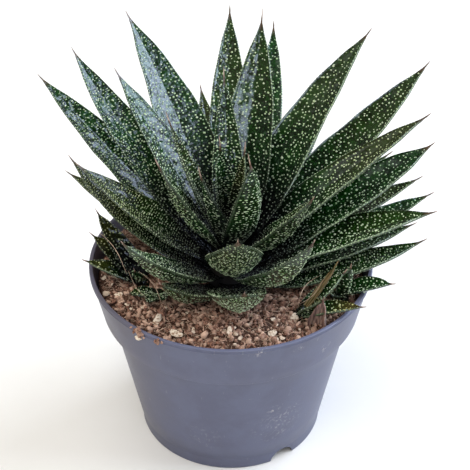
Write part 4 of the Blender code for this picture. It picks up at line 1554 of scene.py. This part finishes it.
    def spill(self, peat: Material, bark: Material, rng: np.random.Generator) -> None:
        """Set the crumbs and the chip that cling to the outside of the lip.

        Args:
            peat: the crumbs' finish.
            bark: the chip's finish.
            rng: draws their places, sizes and shades.
        """
        lip, top = self.pot.rim, self.pot.height
        spots, sizes = [], []
        for turn, count, spread in ((self.spill_turn, 16, 1.3), (self.spill_turn + 9, 9, 1.0)):
            angle = math.radians(turn)
            aside = around(1.0, angle + math.pi / 2)
            for _ in range(count):
                side, up = rng.normal(0, spread), rng.normal(0, spread * 0.8)
                reach = lip + 0.35 + abs(rng.normal(0, 0.4))
                spots.append(around(reach, angle, top - 0.6 + up) + side * aside)
                sizes.append(rng.uniform(0.5, 1.0))
        sizes = np.array(sizes)[:, None] * rng.uniform(0.7, 1.1, (len(spots), 3))
        frames = Frames(np.array(spots), self.random_axes(rng, sizes))
        shade = np.clip(rng.normal(0.25, 0.2, len(spots)), 0, 0.8)
        self.stamp("rim_crumbs", pebble_template("rim_crumb"), frames, 0.3, shade, peat, rng)
        angle = math.radians(self.spill_turn)
        face, side = around(1.0, angle, 0.5), around(1.0, angle + math.pi / 2)
        rise = np.cross(face, side)
        rise, face = rise / np.linalg.norm(rise), face / np.linalg.norm(face)
        axes = np.array([[side * 1.7, rise * 1.1, -face * 0.35]])
        frames = Frames(around(lip + 1.1, angle, top - 2.6)[None], axes)
        self.stamp("rim_chip", self.chip_template(), frames, 0.05, np.array([0.0]), bark, rng)

    def lay_hairs(self, coir: Material, rng: np.random.Generator) -> None:
        """Stand the dry hairs of the table among the young plants, each one bowed aside.

        Args:
            coir: their finish.
            rng: passed on to the stamping.
        """
        centres, axes = [], []
        for start, end, bow in HAIRS:
            a, b = np.array(start), np.array(end)
            half = 0.5 * (a - b)
            aside = np.cross(half, (0, -1, 0))
            aside /= np.linalg.norm(aside)
            deep = np.cross(half, aside)
            deep /= np.linalg.norm(deep)
            centres.append(0.5 * (a + b))
            axes.append([half, aside * bow, deep * abs(bow)])
        frames = Frames(np.array(centres), np.array(axes))
        hair = self.fibre_template("hair", 0.09, 1.0, 14)
        self.stamp("dry_hairs", hair, frames, 0.0, np.full(len(HAIRS), 0.8), coir, rng)

    def build(self, peat: Material, coir: Material, bark: Material) -> None:
        """Build the ground and everything that lies on it.

        Args:
            peat: finish of the crumbs.
            coir: finish of the fibres.
            bark: finish of the chips.
        """
        # The ground under the crumbs is painted dark: painted shade in the gaps between the crumbs.
        self.ground(PeatCrumb("peat_gap_shade", "#22160f", "#634739", "#7a5b4b").make())
        rng = np.random.default_rng(11)
        self.lay_crumbs(peat, rng)
        self.lay_fibres(coir, rng)
        self.lay_chips(bark, rng)
        self.spill(peat, bark, rng)
        self.lay_hairs(coir, rng)


@dataclass(frozen=True)
class Lamp:
    """One soft lamp that faces the plant.

    Attributes:
        name: the lamp's name.
        azimuth: its direction from the plant in degrees, from +X towards +Y.
        elevation: its height above the level in degrees.
        reach: its distance in metres.
        size: its width and height in metres.
        watts: its power.
        colour: its sRGB hex colour.
        mirrored: whether it is only seen in the gloss, or only lights matt surfaces.
    """

    name: str
    azimuth: float
    elevation: float
    reach: float
    size: tuple[float, float]
    watts: float
    colour: str
    mirrored: bool

    def hang(self, aim_height: float) -> None:
        """Hang the lamp and turn it to a point above the floor's middle.

        Args:
            aim_height: height in metres of the point that it faces.
        """
        light = bpy.data.lights.new(self.name, "AREA")
        light.shape = "RECTANGLE"
        light.size, light.size_y = self.size
        light.energy = self.watts
        light.color = linear(self.colour)[:3]
        lamp = put(self.name, light)
        lamp.visible_glossy, lamp.visible_diffuse = self.mirrored, not self.mirrored
        rise = math.radians(self.elevation)
        way = Vector(around(math.cos(rise), math.radians(self.azimuth), math.sin(rise)))
        lamp.location = way * self.reach + Vector((0, 0, aim_height))
        lamp.rotation_euler = way.to_track_quat("Z", "Y").to_euler()


LAMPS = (
    Lamp("window", 15.0, 41.0, 1.2, (1.35, 0.8), 58.0, "#cfe0fc", True),
    Lamp("side_window", -66.0, 33.0, 1.3, (0.55, 0.5), 15.0, "#d6e5ff", True),
    Lamp("room", 165.0, 42.0, 1.3, (0.5, 0.9), 3.0, "#e9eeee", True),
    Lamp("daylight", 15.0, 41.0, 1.2, (1.35, 0.8), 29.0, "#e3eaf5", False),
    Lamp("front", 243.0, 50.0, 1.3, (1.2, 0.9), 10.0, "#fdf6ee", False),
    Lamp("ceiling", 150.0, 72.0, 1.3, (1.0, 1.0), 8.0, "#fbf7f0", False),
)


@dataclass
class Studio:
    """Floor, light and camera. The camera stands where the photograph was taken from.

    Attributes:
        photo_px: the photograph's width in pixels.
        focal_px: the focal length in the same pixels.
        pitch: how far the camera looks down, in degrees.
        distance: from the camera to the middle of the pot's mouth, in metres.
        shift_px: how far the picture is shifted right and up.
    """

    photo_px: float = 470.0
    focal_px: float = 1297.0
    sensor_mm: float = 36.0
    pitch: float = 37.06
    distance: float = 0.55
    aim_height: float = 0.085
    shift_px: tuple = (4.2, 23.2)
    floor_half: float = 3.0
    air: str = "#f2f2ef"
    air_strength: float = 0.3

    def build(self) -> None:
        """Build the floor, hang the lamps, light the air and place the camera."""
        bm = bmesh.new()
        bmesh.ops.create_grid(bm, x_segments=1, y_segments=1, size=self.floor_half)
        floor = put("studio_floor", to_mesh(bm, "studio_floor"))
        floor.data.materials.append(StudioPaper().make())
        for lamp in LAMPS:
            lamp.hang(self.aim_height)
        world = bpy.data.worlds.new("studio_air")
        bpy.context.scene.world = world
        world.use_nodes = True
        air = world.node_tree.nodes["Background"]
        air.inputs["Color"].default_value = linear(self.air)
        air.inputs["Strength"].default_value = self.air_strength
        bpy.context.scene.view_settings.view_transform = "Standard"
        lens = bpy.data.cameras.new("camera")
        lens.sensor_width = self.sensor_mm
        lens.lens = self.sensor_mm * self.focal_px / self.photo_px
        lens.shift_x, lens.shift_y = (shift / self.photo_px for shift in self.shift_px)
        lens.clip_start = 0.01
        pitch = math.radians(self.pitch)
        camera = put("camera", lens)
        camera.location = (0, -self.distance * math.cos(pitch),
                           self.aim_height + self.distance * math.sin(pitch))
        camera.rotation_euler = (math.pi / 2 - pitch, 0, 0)
        bpy.context.scene.camera = camera


def main() -> None:
    """Build the plant, its pot, its soil and the studio."""
    logging.basicConfig(level=logging.INFO, format="%(name)s %(message)s")
    skin, dots = LeafSkin().make(), DotSkin().make()
    pot = Pot()
    pot.build(PotPlastic().make())
    Soil(pot).build(PeatCrumb().make(), PeatCrumb("coir_fibre", "#6b4c3c", "#94715b", "#d6bea8", 0.9).make(),
                    BarkChip().make())
    Rosette(skin, dots).build()
    Offsets(skin, dots).build()
    Studio().build()
    bpy.context.view_layer.update()


if __name__ == "__main__":
    main()
